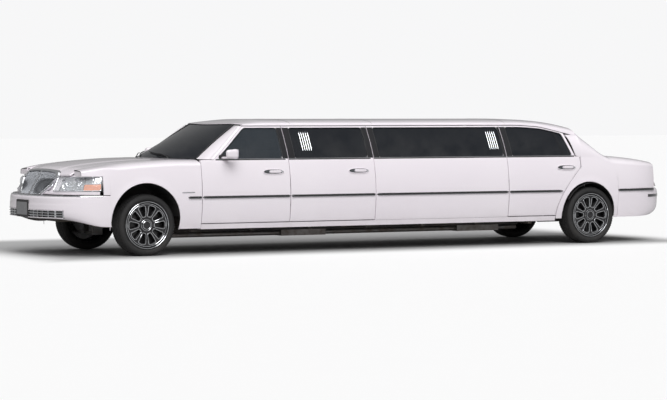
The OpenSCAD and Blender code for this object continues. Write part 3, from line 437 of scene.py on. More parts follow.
def buildGrain():
    # Fine relief from two sizes of cells and noise, for leather, moulded plastic and castings.
    group = bpy.data.node_groups.new("surfaceGrain", "ShaderNodeTree")
    groupSockets(group, [("Vector", "Vector", (0, 0, 0)), ("Scale", "Float", 300.0), ("Cells", "Float", 0.7),
        ("Strength", "Float", 0.3), ("Distance", "Float", 0.001)], [("Height", "Float"), ("Normal", "Vector")])
    enter, leave = group.nodes.new("NodeGroupInput"), group.nodes.new("NodeGroupOutput")
    cells = node(group, "ShaderNodeTexVoronoi", feature="SMOOTH_F1")
    noise = node(group, "ShaderNodeTexNoise", Detail=8.0, Roughness=0.6)
    for texture in (cells, noise):
        group.links.new(enter.outputs["Vector"], texture.inputs["Vector"])
        group.links.new(enter.outputs["Scale"], texture.inputs["Scale"])
    blend = group.nodes.new("ShaderNodeMix")
    group.links.new(enter.outputs["Cells"], blend.inputs[0])
    group.links.new(noise.outputs["Fac"], blend.inputs[2])
    group.links.new(cells.outputs["Distance"], blend.inputs[3])
    bump = group.nodes.new("ShaderNodeBump")
    group.links.new(enter.outputs["Strength"], bump.inputs["Strength"])
    group.links.new(enter.outputs["Distance"], bump.inputs["Distance"])
    group.links.new(blend.outputs[0], bump.inputs["Height"])
    group.links.new(blend.outputs[0], leave.inputs["Height"])
    group.links.new(bump.outputs[0], leave.inputs["Normal"])
    return group


dustGroup, wearGroup, grainGroup = buildDust(), buildEdgeWear(), buildGrain()


def newMaterial(name, base, roughness, metallic=0.0, **principled):
    # A material with a Principled shader; fixed values go straight onto its sockets.
    material = bpy.data.materials.new(name)
    material.use_nodes = True
    tree = material.node_tree
    shader = tree.nodes["Principled BSDF"]
    shader.inputs["Base Color"].default_value = (*base, 1)
    shader.inputs["Roughness"].default_value = roughness
    shader.inputs["Metallic"].default_value = metallic
    for key, value in principled.items():
        shader.inputs[key.replace("_", " ")].default_value = value
    coords = tree.nodes.new("ShaderNodeTexCoord")
    return material, tree, shader, coords.outputs["Object"]


def useGroup(tree, group, vector, **values):
    made = tree.nodes.new("ShaderNodeGroup")
    made.node_tree = group
    tree.links.new(vector, made.inputs["Vector"])
    for key, value in values.items():
        if isinstance(value, (int, float)):
            made.inputs[key.replace("_", " ")].default_value = value
        else:
            tree.links.new(value, made.inputs[key.replace("_", " ")])
    return made


def layered(name, base, second, roughness, metallic=0.0, patchScale=4.0, patchAmount=0.5, roughSpread=0.08, grain=None,
        dust=0.0, dustTop=0.9, dustColour=(0.30, 0.26, 0.22), wear=0.0, wearColour=(0.6, 0.6, 0.6), **principled):
    # Two close tones in soft patches, uneven roughness, optional grain relief, low dust and worn edges.
    material, tree, shader, place = newMaterial(name, base, roughness, metallic, **principled)
    patch = node(tree, "ShaderNodeTexNoise", Scale=patchScale, Detail=5.0, Roughness=0.6)
    tree.links.new(place, patch.inputs["Vector"])
    share = node(tree, "ShaderNodeMapRange", From_Min=0.35, From_Max=0.68, To_Max=patchAmount)
    tree.links.new(patch.outputs["Fac"], share.inputs["Value"])
    colour = mixColour(tree, share.outputs[0], (*base, 1), (*second, 1))
    rough = node(tree, "ShaderNodeMapRange", From_Min=0.3, From_Max=0.75, To_Min=max(0.02, roughness - roughSpread),
        To_Max=min(1, roughness + roughSpread))
    tree.links.new(patch.outputs["Fac"], rough.inputs["Value"])
    roughOut = rough.outputs[0]
    if dust:
        mask = useGroup(tree, dustGroup, place, Amount=dust, High=dustTop, Low=0.05).outputs["Mask"]
        colour = mixColour(tree, mask, colour, (*dustColour, 1))
        roughOut = mathNode(tree, "ADD", roughOut, mathNode(tree, "MULTIPLY", mask, 0.3))
    if wear:
        geometry = tree.nodes.new("ShaderNodeNewGeometry")
        mask = useGroup(tree, wearGroup, place, Pointiness=geometry.outputs["Pointiness"], Amount=wear).outputs["Mask"]
        colour = mixColour(tree, mask, colour, (*wearColour, 1))
    if grain:
        relief = useGroup(tree, grainGroup, place, Scale=grain[0], Cells=grain[1], Strength=grain[2], Distance=grain[3])
        tree.links.new(relief.outputs["Normal"], shader.inputs["Normal"])
        deep = mathNode(tree, "MULTIPLY", relief.outputs["Height"], 0.12)
        roughOut = mathNode(tree, "ADD", roughOut, deep)
    tree.links.new(colour, shader.inputs["Base Color"])
    tree.links.new(roughOut, shader.inputs["Roughness"])
    return material


finish = dict(  # what the colours and gloss of the whole car come from
    pearl=(0.84, 0.79, 0.835), pearlShade=(0.775, 0.71, 0.775), pearlRoughness=0.30,
    tint=(0.012, 0.014, 0.018), wheelBlack=(0.012, 0.012, 0.014), leather=(0.035, 0.031, 0.033))


def buildPearl():
    # White pearl: a soft pink-violet base under clear coat, with fine flakes that tilt the base's reflection.
    material, tree, shader, place = newMaterial("pearlPaint", finish["pearl"], finish["pearlRoughness"], 0.0,
        Coat_Weight=1.0, Coat_Roughness=0.035, Coat_IOR=1.5)
    broad = node(tree, "ShaderNodeTexNoise", Scale=1.3, Detail=3.0, Roughness=0.5)
    tree.links.new(place, broad.inputs["Vector"])
    share = node(tree, "ShaderNodeMapRange", From_Min=0.3, From_Max=0.75, To_Max=0.35)
    tree.links.new(broad.outputs["Fac"], share.inputs["Value"])
    colour = mixColour(tree, share.outputs[0], (*finish["pearl"], 1), (*finish["pearlShade"], 1))
    flakes = node(tree, "ShaderNodeTexVoronoi", Scale=2600.0, feature="F1")
    tree.links.new(place, flakes.inputs["Vector"])
    glint = node(tree, "ShaderNodeMapRange", From_Min=0.0, From_Max=1.0, To_Min=0.22, To_Max=0.42)
    tree.links.new(flakes.outputs["Color"], glint.inputs["Value"])
    bump = node(tree, "ShaderNodeBump", Strength=0.04, Distance=0.0002)
    tree.links.new(flakes.outputs["Distance"], bump.inputs["Height"])
    mask = useGroup(tree, dustGroup, place, Amount=0.30, High=0.52, Low=0.20, Patch_Scale=5.0).outputs["Mask"]
    colour = mixColour(tree, mask, colour, (0.50, 0.45, 0.44, 1))
    tree.links.new(colour, shader.inputs["Base Color"])
    tree.links.new(glint.outputs[0], shader.inputs["Roughness"])
    tree.links.new(bump.outputs[0], shader.inputs["Normal"])
    return material


def buildGlass(name, tone, alpha, roughness=0.03):
    # Tinted glass as a dark film that lets part of the light by, with a full gloss and faint smears.
    material, tree, shader, place = newMaterial(name, tone, roughness, 0.0, IOR=1.45, Alpha=alpha)
    smear = node(tree, "ShaderNodeTexNoise", Scale=9.0, Detail=6.0, Roughness=0.7)
    stretch = node(tree, "ShaderNodeMapping")
    stretch.inputs["Scale"].default_value = (1.0, 1.0, 3.5)
    tree.links.new(place, stretch.inputs["Vector"])
    tree.links.new(stretch.outputs[0], smear.inputs["Vector"])
    rough = node(tree, "ShaderNodeMapRange", From_Min=0.4, From_Max=0.8, To_Min=roughness, To_Max=roughness + 0.07)
    tree.links.new(smear.outputs["Fac"], rough.inputs["Value"])
    tree.links.new(rough.outputs[0], shader.inputs["Roughness"])
    dusty = useGroup(tree, dustGroup, place, Amount=0.10, High=1.6, Low=0.9, Patch_Scale=4.0).outputs["Mask"]
    colour = mixColour(tree, dusty, (*tone, 1), (0.30, 0.29, 0.28, 1))
    tree.links.new(colour, shader.inputs["Base Color"])
    return material


def buildWood():
    # Lacquered veneer: rings stretched along the car and warped by noise, under a clear coat.
    material, tree, shader, place = newMaterial("lacqueredWood", (0.2, 0.08, 0.03), 0.35, 0.0, Coat_Weight=0.8,
        Coat_Roughness=0.06)
    turn = node(tree, "ShaderNodeMapping")
    turn.inputs["Scale"].default_value = (0.7, 7.0, 7.0)
    tree.links.new(place, turn.inputs["Vector"])
    rings = node(tree, "ShaderNodeTexWave", Scale=1.6, Distortion=7.0, Detail=4.0, Detail_Scale=1.4, wave_type="BANDS")
    tree.links.new(turn.outputs[0], rings.inputs["Vector"])
    pores = node(tree, "ShaderNodeTexNoise", Scale=90.0, Detail=4.0)
    tree.links.new(turn.outputs[0], pores.inputs["Vector"])
    colour = mixColour(tree, rings.outputs["Fac"], (0.115, 0.036, 0.014, 1), (0.32, 0.135, 0.048, 1))
    colour = mixColour(tree, mathNode(tree, "MULTIPLY", pores.outputs["Fac"], 0.35), colour, (0.05, 0.018, 0.008, 1))
    tree.links.new(colour, shader.inputs["Base Color"])
    bump = node(tree, "ShaderNodeBump", Strength=0.05, Distance=0.0005)
    tree.links.new(pores.outputs["Fac"], bump.inputs["Height"])
    tree.links.new(bump.outputs[0], shader.inputs["Normal"])
    return material


pearlPaint = buildPearl()
tintedGlass = buildGlass("tintedGlass", finish["tint"], 0.90)
frontGlass = buildGlass("frontDoorGlass", (0.035, 0.043, 0.052), 0.72)
lampClear = buildGlass("lampClear", (0.80, 0.83, 0.86), 0.22, 0.02)
lacqueredWood = buildWood()
chromeTrim = layered("chromeTrim", (0.80, 0.81, 0.83), (0.70, 0.71, 0.74), 0.08, 1.0, patchScale=20.0, roughSpread=0.04)
grilleMetal = layered("grilleMetal", (0.30, 0.31, 0.33), (0.20, 0.21, 0.23), 0.24, 1.0, patchScale=30.0,
    roughSpread=0.05)
lampChrome = layered("lampReflector", (0.86, 0.87, 0.89), (0.78, 0.79, 0.82), 0.10, 1.0, patchScale=40.0)
lampOrange = layered("lampOrange", (0.80, 0.20, 0.015), (0.88, 0.30, 0.03), 0.12, Coat_Weight=1.0, Emission_Color=(0.9,
    0.25, 0.02, 1), Emission_Strength=0.15, grain=(180.0, 0.9, 0.25, 0.001))
lampRed = layered("lampRed", (0.34, 0.008, 0.012), (0.22, 0.004, 0.008), 0.10, Coat_Weight=1.0, Coat_Roughness=0.03,
    grain=(160.0, 0.9, 0.2, 0.001))
blackPlastic = layered("blackPlastic", (0.016, 0.016, 0.018), (0.026, 0.026, 0.028), 0.52, grain=(900.0, 0.6, 0.25,
    0.0004), dust=0.25)
glossBlack = layered("glossBlack", (0.010, 0.010, 0.012), (0.016, 0.016, 0.019), 0.10, Coat_Weight=1.0,
    Coat_Roughness=0.04)
sealRubber = layered("sealRubber", (0.014, 0.014, 0.015), (0.024, 0.024, 0.025), 0.62, patchScale=30.0)
tyreRubber = layered("tyreRubber", (0.013, 0.013, 0.014), (0.022, 0.021, 0.020), 0.72, patchScale=14.0, grain=(420.0,
    0.3, 0.22, 0.0006), dust=0.22, dustTop=0.75, dustColour=(0.11, 0.10, 0.09))
wheelBlack = layered("wheelBlack", finish["wheelBlack"], (0.02, 0.02, 0.022), 0.30, patchScale=25.0, Coat_Weight=0.35,
    Coat_Roughness=0.12, dust=0.08, dustColour=(0.12, 0.10, 0.085))
underbodyBlack = layered("underbodyBlack", (0.022, 0.022, 0.024), (0.045, 0.040, 0.036), 0.72, patchScale=6.0,
    grain=(260.0, 0.3, 0.4, 0.001), dust=0.30, wear=0.25, wearColour=(0.10, 0.08, 0.06))
bareSteel = layered("bareSteel", (0.34, 0.33, 0.33), (0.20, 0.135, 0.095), 0.46, 0.85, patchScale=11.0,
    roughSpread=0.18, grain=(320.0, 0.2, 0.25, 0.0006), dust=0.35, wear=0.4, wearColour=(0.55, 0.55, 0.56))
castIron = layered("castIron", (0.13, 0.13, 0.135), (0.085, 0.075, 0.07), 0.62, 0.6, patchScale=12.0, grain=(240.0, 0.5,
    0.5, 0.0012), dust=0.3)
discSteel = layered("brakeDisc", (0.42, 0.42, 0.43), (0.34, 0.33, 0.33), 0.32, 0.95, patchScale=30.0)
cabinPlastic = layered("cabinPlastic", (0.040, 0.040, 0.044), (0.055, 0.054, 0.058), 0.58, grain=(700.0, 0.8, 0.35,
    0.0005))
cabinCarpet = layered("cabinCarpet", (0.030, 0.029, 0.031), (0.055, 0.052, 0.054), 0.95, patchScale=60.0,
    patchAmount=0.8, grain=(520.0, 0.1, 0.9, 0.003), Sheen_Weight=0.4, Sheen_Roughness=0.6)
roofCloth = layered("roofLining", (0.20, 0.19, 0.19), (0.24, 0.23, 0.23), 0.9, patchScale=20.0, grain=(800.0, 0.2, 0.4,
    0.0006), Sheen_Weight=0.3)
blackLeather = layered("blackLeather", finish["leather"], (0.055, 0.049, 0.051), 0.42, patchScale=7.0, roughSpread=0.1,
    grain=(190.0, 0.85, 0.55, 0.0011), Coat_Weight=0.12, Coat_Roughness=0.35)
stitchThread = layered("stitchThread", (0.17, 0.16, 0.165), (0.24, 0.23, 0.235), 0.8, patchScale=90.0)
plateBlank = layered("plateBlank", (0.30, 0.30, 0.31), (0.22, 0.22, 0.23), 0.38, 0.6, patchScale=30.0)
mirrorGlass = layered("mirrorGlass", (0.72, 0.75, 0.78), (0.68, 0.71, 0.74), 0.03, 1.0)
print("materials built")


# Doors and side panels

sidePanel = dict(edgeRound=0.004, frameDepth=0.040, doorInner=0.897, glassIn=0.010, cornerRadius=0.034,
    frameHeight=0.019)


def edgeSteps(radius, length, count):
    # Positions from 0 to length, crowded at both ends where the edge is rounded.
    near = np.array([0, 0.12, 0.35, 0.65, 1.0]) * radius
    return np.concatenate([near, np.linspace(radius, length - radius, count)[1:-1], (length - near)[::-1]])


def edgeDrop(distance, radius):
    d = np.clip(distance, 0, radius)
    return radius - np.sqrt(np.maximum(radius ** 2 - (radius - d) ** 2, 0))


def lowerPanel(rear, front, bottom, top, innerY, columns=30, rows=26, pocket=False):
    # The part of a side panel below its windows: x between two edges, z between two heights, rounded at its edges.
    r = sidePanel["edgeRound"]
    z = (bottom + edgeSteps(r, top - bottom, rows))[None, :]
    xr, xf = rear(z), front(z)
    length = xf - xr
    lead = float(np.mean(length))
    s = edgeSteps(r, 1.0, columns)
    if pocket:
        s = np.sort(np.concatenate([s[np.abs(s - 1 + 0.108 / lead) > 0.004], [1 - 0.1085 / lead, 1 - 0.1075 / lead]]))
    s = s[:, None]
    x = xr + s * length
    away = np.minimum(np.minimum(s, 1 - s) * length, np.minimum(z - bottom, top - z))
    y = sideY(x, np.minimum(z + 0 * x, beltZ - 0.005)) - edgeDrop(away, r)
    outer = np.stack([x, y, z + 0 * x], -1)
    deep = np.minimum(innerY + 0 * x, y - 0.02)
    if pocket:  # the strip along the leading edge is a single skin, with the hinge eyes behind it
        deep = np.where(((1 - s) * length < 0.108) & (z > 0.45) & (z < 0.87), y - 0.005, deep)
    inner = np.stack([x, deep, z + 0 * x], -1)
    return shell(outer, inner, pearlPaint)


def sideMap(rear, front, top, loop, lowZ, highZ):
    # Carries points of the unit square onto the glasshouse side: across between two edges, up to the top line.
    zn = lowZ + loop[:, 1] * (highZ - lowZ)
    x = rear(zn) + loop[:, 0] * (front(zn) - rear(zn))
    z = beltZ + (zn - beltZ) * (top(x) - beltZ) / (doorTopZ - beltZ)
    return x, z


def windowRing(rear, front, windowRear, windowFront, top, material):
    # Frame round a window: rings of points from the door's edge to the window's edge, over the face and back.
    radius = sidePanel["cornerRadius"]
    loops = []
    low, high = beltZ - 0.005, doorTopZ
    glassLow, glassHigh = beltZ + 0.012, doorTopZ - sidePanel["frameHeight"]
    for edge, depth, grow in ((0, sidePanel["frameDepth"], 0), (0, 0.004, 0), (0.0, 0.0, -0.003), (1, 0.0, 0.004), (1,
            0.003, 0.0), (1, sidePanel["frameDepth"], 0.0)):
        if edge:
            width = float(windowFront(beltZ + 0.2) - windowRear(beltZ + 0.2))
            loop = roundedLoop(min(0.45, radius / width), min(0.45, radius / (glassHigh - glassLow)))
            x, z = sideMap(lambda q: windowRear(q) - grow, lambda q: windowFront(q) + grow, top, loop, glassLow - grow,
                glassHigh + grow)
        else:
            width = float(front(beltZ + 0.2) - rear(beltZ + 0.2))
            loop = roundedLoop(0.006 / width, 0.006 / (high - low))
            x, z = sideMap(lambda q: rear(q) - grow, lambda q: front(q) + grow, top, loop, low, high + grow)
        loops.append(np.stack([x, houseY(z) - depth, z], -1))
    return skin(np.array(loops), material, closeRows=True, closeColumns=True)


def windowPane(windowRear, windowFront, top, material, grow=0.006):
    # A pane a little larger than its window, with its thickness, following the side's lean.
    s, t = np.linspace(0, 1, 26), np.linspace(0, 1, 12)
    ss, tt = [g.ravel() for g in np.meshgrid(s, t, indexing="ij")]
    sheets = []
    for depth in (sidePanel["glassIn"], sidePanel["glassIn"] + 0.005):
        x, z = sideMap(lambda q: windowRear(q) - grow, lambda q: windowFront(q) + grow, top, np.stack([ss, tt], -1),
            beltZ + 0.012 - grow, doorTopZ - sidePanel["frameHeight"] + grow)
        sheets.append(np.stack([x, houseY(z) - depth, z], -1).reshape(len(s), len(t), 3))
    return shell(sheets[0], sheets[1], material)


def windowTrim(windowRear, windowFront, top, material, size=0.0035, grow=0.001):
    # A thin bead round the window.
    width = float(windowFront(beltZ + 0.2) - windowRear(beltZ + 0.2))
    high = doorTopZ - sidePanel["frameHeight"]
    loop = roundedLoop(min(0.45, sidePanel["cornerRadius"] / width), sidePanel["cornerRadius"] / (high - beltZ - 0.012),
        side=20, corner=9)
    x, z = sideMap(lambda q: windowRear(q) - grow, lambda q: windowFront(q) + grow, top, loop, beltZ + 0.012 - grow,
        high + grow)
    path = np.stack([x, houseY(z) + 0.0005, z], -1)
    return sweep(circle(size, 8), path, material, closed=True, up=(0, 1, 0))


def pillarCover(rear, front, top, lowZ=None, highZ=None, proud=0.0015):
    # Black cover over the part of a door frame between two windows.
    lowZ = beltZ + 0.010 if lowZ is None else lowZ
    highZ = doorTopZ - sidePanel["frameHeight"] + 0.004 if highZ is None else highZ
    s, t = np.linspace(0, 1, 5), np.linspace(0, 1, 14)
    ss, tt = [g.ravel() for g in np.meshgrid(s, t, indexing="ij")]
    sheets = []
    for lift in (proud, -0.006):
        x, z = sideMap(rear, front, top, np.stack([ss, tt], -1), lowZ, highZ)
        sheets.append(np.stack([x, houseY(z) + lift, z], -1).reshape(len(s), len(t), 3))
    return shell(sheets[0], sheets[1], glossBlack)


def beltStrip(x0, x1):
    # Seal along the foot of the windows: black below, a bright bead above.
    x = np.linspace(x0, x1, 40)
    y = houseY(np.full(40, beltZ + 0.006))
    black = sweep(np.array([[-0.006, -0.008], [0.006, -0.010], [0.007, 0.004], [-0.004, 0.007]]),
        np.stack([x, y + 0.002, np.full(40, beltZ + 0.002)], -1), sealRubber)
    bright = sweep(circle(0.0035, 8), np.stack([x, y + 0.006, np.full(40, beltZ + 0.010)], -1), chromeTrim)
    return [black, bright]


moulding = dict(bottom=0.640, top=0.668, proud=0.012, brightWidth=0.0055)


def mouldingStrip(x0, x1, blunt=(0.01, 0.01)):
    # Rubbing strip along the side: a rounded black bar with a bright bead under it, narrowed at its ends.
    count = 60
    x = np.linspace(x0, x1, count)
    mid = (moulding["bottom"] + moulding["top"]) / 2
    half = (moulding["top"] - moulding["bottom"]) / 2
    t = np.linspace(-1, 1, 9)
    profile = np.concatenate([np.stack([moulding["proud"] * (1 - t ** 4), t * half], -1), [[-0.004, half],
        [-0.004, -half]]])
    end = np.minimum((x - x0) / blunt[0], (x1 - x) / blunt[1])
    taper = np.clip(end, 0.05, 1) ** 0.5
    y = halfPlan(x) - sideDrop(np.full(count, mid))
    bar = sweep(profile * [-1, 1], np.stack([x, y, np.full(count, mid)], -1), glossBlack, taper=taper)
    low = moulding["bottom"] + 0.0005
    bead = sweep(circle(moulding["brightWidth"] / 2, 8), np.stack([x, y + moulding["proud"] * 0.75, np.full(count,
        low)], -1), chromeTrim, taper=taper)
    return [bar, bead]


handle = dict(length=0.262, height=0.058, proud=0.026, z=0.934)


def doorHandle(centreX, z):
    # Flush handle: a bright oval ring, a dark scoop, a pull flap across it, and a black pad under the flap as a painted
    # shadow.
    y = float(halfPlan(np.array(centreX)) - sideDrop(np.array(z)))
    a = np.linspace(0, 2 * np.pi, 48, endpoint=False)
    bend = lambda q, p: np.sign(q) * np.abs(q) ** p
    ringX = centreX + handle["length"] / 2 * bend(np.cos(a), 0.75)
    ringZ = z + handle["height"] / 2 * bend(np.sin(a), 0.8)
    path = np.stack([ringX, sideY(ringX, ringZ) + 0.003, ringZ], -1)
    ring = sweep(circle(0.0055, 10), path, pearlPaint, closed=True, up=(0, 1, 0))
    scoopR = np.linspace(0, 1, 7)[:, None]
    sx = centreX + scoopR * handle["length"] / 2 * bend(np.cos(a), 0.75)[None]
    sz = z + scoopR * handle["height"] / 2 * bend(np.sin(a), 0.8)[None]
    scoopOuter = np.stack([sx, sideY(sx, sz) + 0.0022 - 0.0005 * (1 - scoopR ** 2), sz], -1)
    scoopInner = scoopOuter - [0, 0.006, 0]
    verts = np.concatenate([scoopOuter, scoopInner[::-1]])
    scoop = skin(verts, grilleMetal, closeRows=False, closeColumns=True)
    flap = pillow((centreX - 0.100, y - 0.004, z - 0.015), (centreX + 0.055, y + 0.019, z + 0.018), pearlPaint,
        power=0.5, counts=(36, 14))
    # Black pad under the flap: a painted shadow
    paintedShadow = pillow((centreX - 0.098, y - 0.003, z - 0.024), (centreX + 0.050, y + 0.0045, z - 0.012), glossBlack,
        power=0.5, counts=(24, 8))
    lock = lathe([[0, y + 0.014], [0.011, y + 0.014], [0.013, y + 0.010], [0.013, y - 0.002], [0, y - 0.002]],
        chromeTrim, centre=(centreX - 0.116, 0, z), count=20)
    return [ring, scoop, flap, paintedShadow, lock]


def slats(centreX, count=5, low=1.172, high=1.388, pitch=0.029):
    # Upright bright bars on the glass, each a flattened oval.
    parts = []
    z = np.linspace(low, high, 14)
    for k in range(count):
        x = centreX + (k - (count - 1) / 2) * pitch + 0 * z
        path = np.stack([x, houseY(z) - sidePanel["glassIn"] + 0.006, z], -1)
        taper = np.clip(np.minimum(z - low, high - z) / 0.010, 0.2, 1) ** 0.5
        parts.append(sweep(circle(0.0058, 10, 0.7), path, chromeTrim, up=(0, 1, 0), taper=taper))
    return parts


def innerTrim(rear, front, bottom, top):
    # Door card: a padded panel with an armrest and a pocket line, inside the door.
    r, f = float(rear(np.array(0.7))) + 0.06, float(front(np.array(0.7))) - 0.116
    y = sidePanel["doorInner"]
    card = pillow((r, y - 0.022, bottom + 0.07), (f, y + 0.004, top - 0.02), cabinPlastic, power=0.12, counts=(60, 24))
    rest = pillow((r + 0.12, y - 0.085, 0.690), (f - 0.20, y - 0.005, 0.765), blackLeather, power=0.4, counts=(48, 20))
    x = np.linspace(r + 0.05, f - 0.05, 20)
    strip = sweep(np.array([[0.0, -0.022], [0.006, -0.018], [0.006, 0.018], [0.0, 0.022]]) * [-1, 1],
        np.stack([x, 0 * x + y - 0.021, 0 * x + 0.905], -1), lacqueredWood)
    grip = sweep(circle(0.008, 10), np.stack([np.linspace(f - 0.20, f - 0.32, 14),
        y - 0.022 - 0.028 * np.sin(np.linspace(0, np.pi, 14)), np.full(14, 0.845)], -1), chromeTrim)
    return [card, rest, strip, grip]


def mirrorParts():
    # Outside mirror: a rounded shell with a bezel and its glass on the back, a stalk to the corner of the window, and a
    # foot.
    x = doorLeads["front"] - 0.333
    z = 1.142

    def tuck(unit):
        out = unit.copy()
        back = smoothStep(0.1, -1.0, unit[..., 0])
        out[..., 2] = unit[..., 2] * (0.80 + 0.20 * back) * (1 - 0.10 * unit[..., 1] * (unit[..., 1] > 0))
        out[..., 0] = unit[..., 0] + 0.10 * unit[..., 1] * (unit[..., 0] > 0)
        return out
    body = pillow((x - 0.068, halfWidth + 0.050, z - 0.062), (x + 0.078, halfWidth + 0.128, z + 0.066), pearlPaint,
        power=0.55, counts=(56, 30), warp=tuck)
    rim = roundedLoop(0.25, 0.3, side=10, corner=7)
    ring = np.stack([np.full(len(rim), x - 0.066), halfWidth + 0.056 + 0.066 * rim[:, 0], z - 0.050 + 0.106 * rim[:,
        1]], -1)
    bezel = sweep(circle(0.004, 8), ring, blackPlastic, closed=True, up=(1, 0, 0))
    centre = ring.mean(0)
    rings = np.stack([centre + k * (ring - centre) for k in (0.0, 0.5, 1.0)])
    glassSheet = skin(np.concatenate([rings, (rings - [-0.004, 0, 0])[::-1]]), mirrorGlass, closeColumns=True)
    t = np.linspace(0, 1, 14)
    path = np.stack([x + 0.030 - 0.020 * t, lerp(float(houseY(np.array(beltZ + 0.03))) - 0.006, halfWidth + 0.062, t),
        beltZ + 0.022 + 0.016 * t ** 2], -1)
    stalk = sweep(circle(0.034, 18, 0.42), path, pearlPaint, taper=1.25 - 0.5 * t, up=(0, 0, 1))
    foot = pillow((x - 0.045, houseY(np.array(beltZ + 0.02)) - 0.008, beltZ - 0.002), (x + 0.095,
        houseY(np.array(beltZ + 0.02)) + 0.012, beltZ + 0.060), blackPlastic, power=0.35, counts=(32, 14))
    return [body, bezel, glassSheet, stalk, foot]


flatTop = lambda x: doorTopZ + 0 * x
gap = car["shutGap"]
constant = lambda value: (lambda z: value + 0 * np.asarray(z, float))
doorShapes = dict(front=dict(rear=constant(doorLeads["middle"] + gap), front=frontEdge, top=flatTop,
    windowRear=constant(doorLeads["middle"] + 0.074), windowFront=frontWindowEdge, glass=frontGlass, handleX=-1.580,
    strip=(doorLeads["middle"] + gap + 0.002, doorLeads["front"] - 0.002)),
    middle=dict(rear=constant(doorLeads["panel"] + gap), front=constant(doorLeads["middle"]), top=flatTop,
    windowRear=constant(doorLeads["panel"] + 0.076), windowFront=constant(doorLeads["middle"] - 0.084),
    glass=tintedGlass, handleX=-2.711, strip=(doorLeads["panel"] + gap + 0.002, doorLeads["middle"] - 0.002)),
    rear=dict(rear=rearEdge, front=constant(doorLeads["rear"]), top=doorTop,
    windowRear=lambda z: rearEdge(np.maximum(z, beltZ + 0.001)) + 0.045,
    windowFront=constant(doorLeads["rear"] - 0.078), glass=tintedGlass, handleX=-5.656, strip=(-5.594,
    doorLeads["rear"] - 0.002)))

for doorName, shape in doorShapes.items():
    rearLine, frontLine, topLine = shape["rear"], shape["front"], shape["top"]
    lowTop = beltZ - 0.005
    parts = [lowerPanel(lambda z: rearLine(np.minimum(z, lowTop - 0.001)),
        lambda z: frontLine(np.minimum(z, lowTop - 0.001)), car["doorBottom"], lowTop, sidePanel["doorInner"],
        pocket=True), windowRing(lambda z: rearLine(np.maximum(z, beltZ + 0.001)),
        lambda z: frontLine(np.maximum(z, beltZ + 0.001)), shape["windowRear"], shape["windowFront"], topLine,
        pearlPaint)]
    ledgeRear = float(rearLine(np.array(lowTop - 0.001))) + 0.004
    ledgeFront = float(frontLine(np.array(beltZ + 0.001))) - 0.004
    x = np.linspace(ledgeRear, float(frontLine(np.array(lowTop - 0.001))) - 0.004, 30)
    ledge = [np.stack([x, np.full(30, y), np.full(30, z)], -1) for y, z in ((0.9375, lowTop - 0.003),
        (0.934, lowTop + 0.003), (0.927, lowTop + 0.006), (0.897, lowTop + 0.006), (0.897, lowTop - 0.003))]
    parts.append(skin(np.array(ledge), pearlPaint, closeRows=True))
    frontEnd = ledgeFront if doorName != "front" else float(frontWindowEdge(np.array(beltZ + 0.01))) + 0.02
    parts += beltStrip(max(ledgeRear, float(shape["windowRear"](np.array(beltZ + 0.01))) - 0.03), frontEnd)
    parts += [windowTrim(shape["windowRear"], shape["windowFront"], topLine, sealRubber)]
    x0, x1 = shape["strip"]
    parts += mouldingStrip(x0, x1, blunt=((0.05 if doorName == "rear" else 0.004), 0.004))
    parts += doorHandle(shape["handleX"], 0.941 if doorName == "rear" else handle["z"])
    above = lambda q: (lambda z: q(np.maximum(z, beltZ + 0.001)))
    if doorName != "rear":
        parts.append(pillarCover(lambda z: above(rearLine)(z) + 0.0015, lambda z: shape["windowRear"](z) + 0.003,
            topLine))
    if doorName != "front":
        parts.append(pillarCover(lambda z: shape["windowFront"](z) - 0.003, lambda z: above(frontLine)(z) - 0.0015,
            topLine))
    if doorName == "rear":
        split = lambda z: rearEdge(np.maximum(z, beltZ + 0.001)) + 0.150
        parts.append(pillarCover(lambda z: split(z) - 0.010, lambda z: split(z) + 0.010, topLine, proud=-0.004))
    if doorName == "front":
        parts += mirrorParts()
    if doorName == "middle":
        parts += slats(-2.070)
    parts += innerTrim(rearLine, frontLine, car["doorBottom"], lowTop)
    lead = doorLeads[doorName]
    for middle in (0.540, 0.780):  # pins that turn in the body's eyes, carried by a plate above and below
        parts.append(lathe([[0, middle - 0.026], [0.0057, middle - 0.026], [0.0057, middle + 0.026], [0,
            middle + 0.026]], bareSteel, centre=(lead - 0.070, halfWidth - 0.022, 0), axis="z", count=24))
        for level in (middle - 0.030, middle + 0.027):
            parts.append(pillow((lead - 0.112, halfWidth - 0.036, level), (lead - 0.060, halfWidth - 0.012,
                level + 0.003), bareSteel, power=0.15, counts=(24, 6)))
    for side in ("left", "right"):
        node_, pane_ = f"{doorName}_door_{side}", f"{doorName}_glass_{side}"
        here = parts if side == "left" else [mirrored(p) for p in parts]
        piece = makePiece(f"{doorName}Door_{side}", here, node_)
        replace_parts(piece, node_)
        glassParts = [windowPane(shape["windowRear"], shape["windowFront"], topLine, shape["glass"])]
        glassHere = glassParts if side == "left" else [mirrored(p) for p in glassParts]
        pane = makePiece(f"{doorName}Window_{side}", glassHere, node_)
        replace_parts(pane, pane_)
print("doors built")

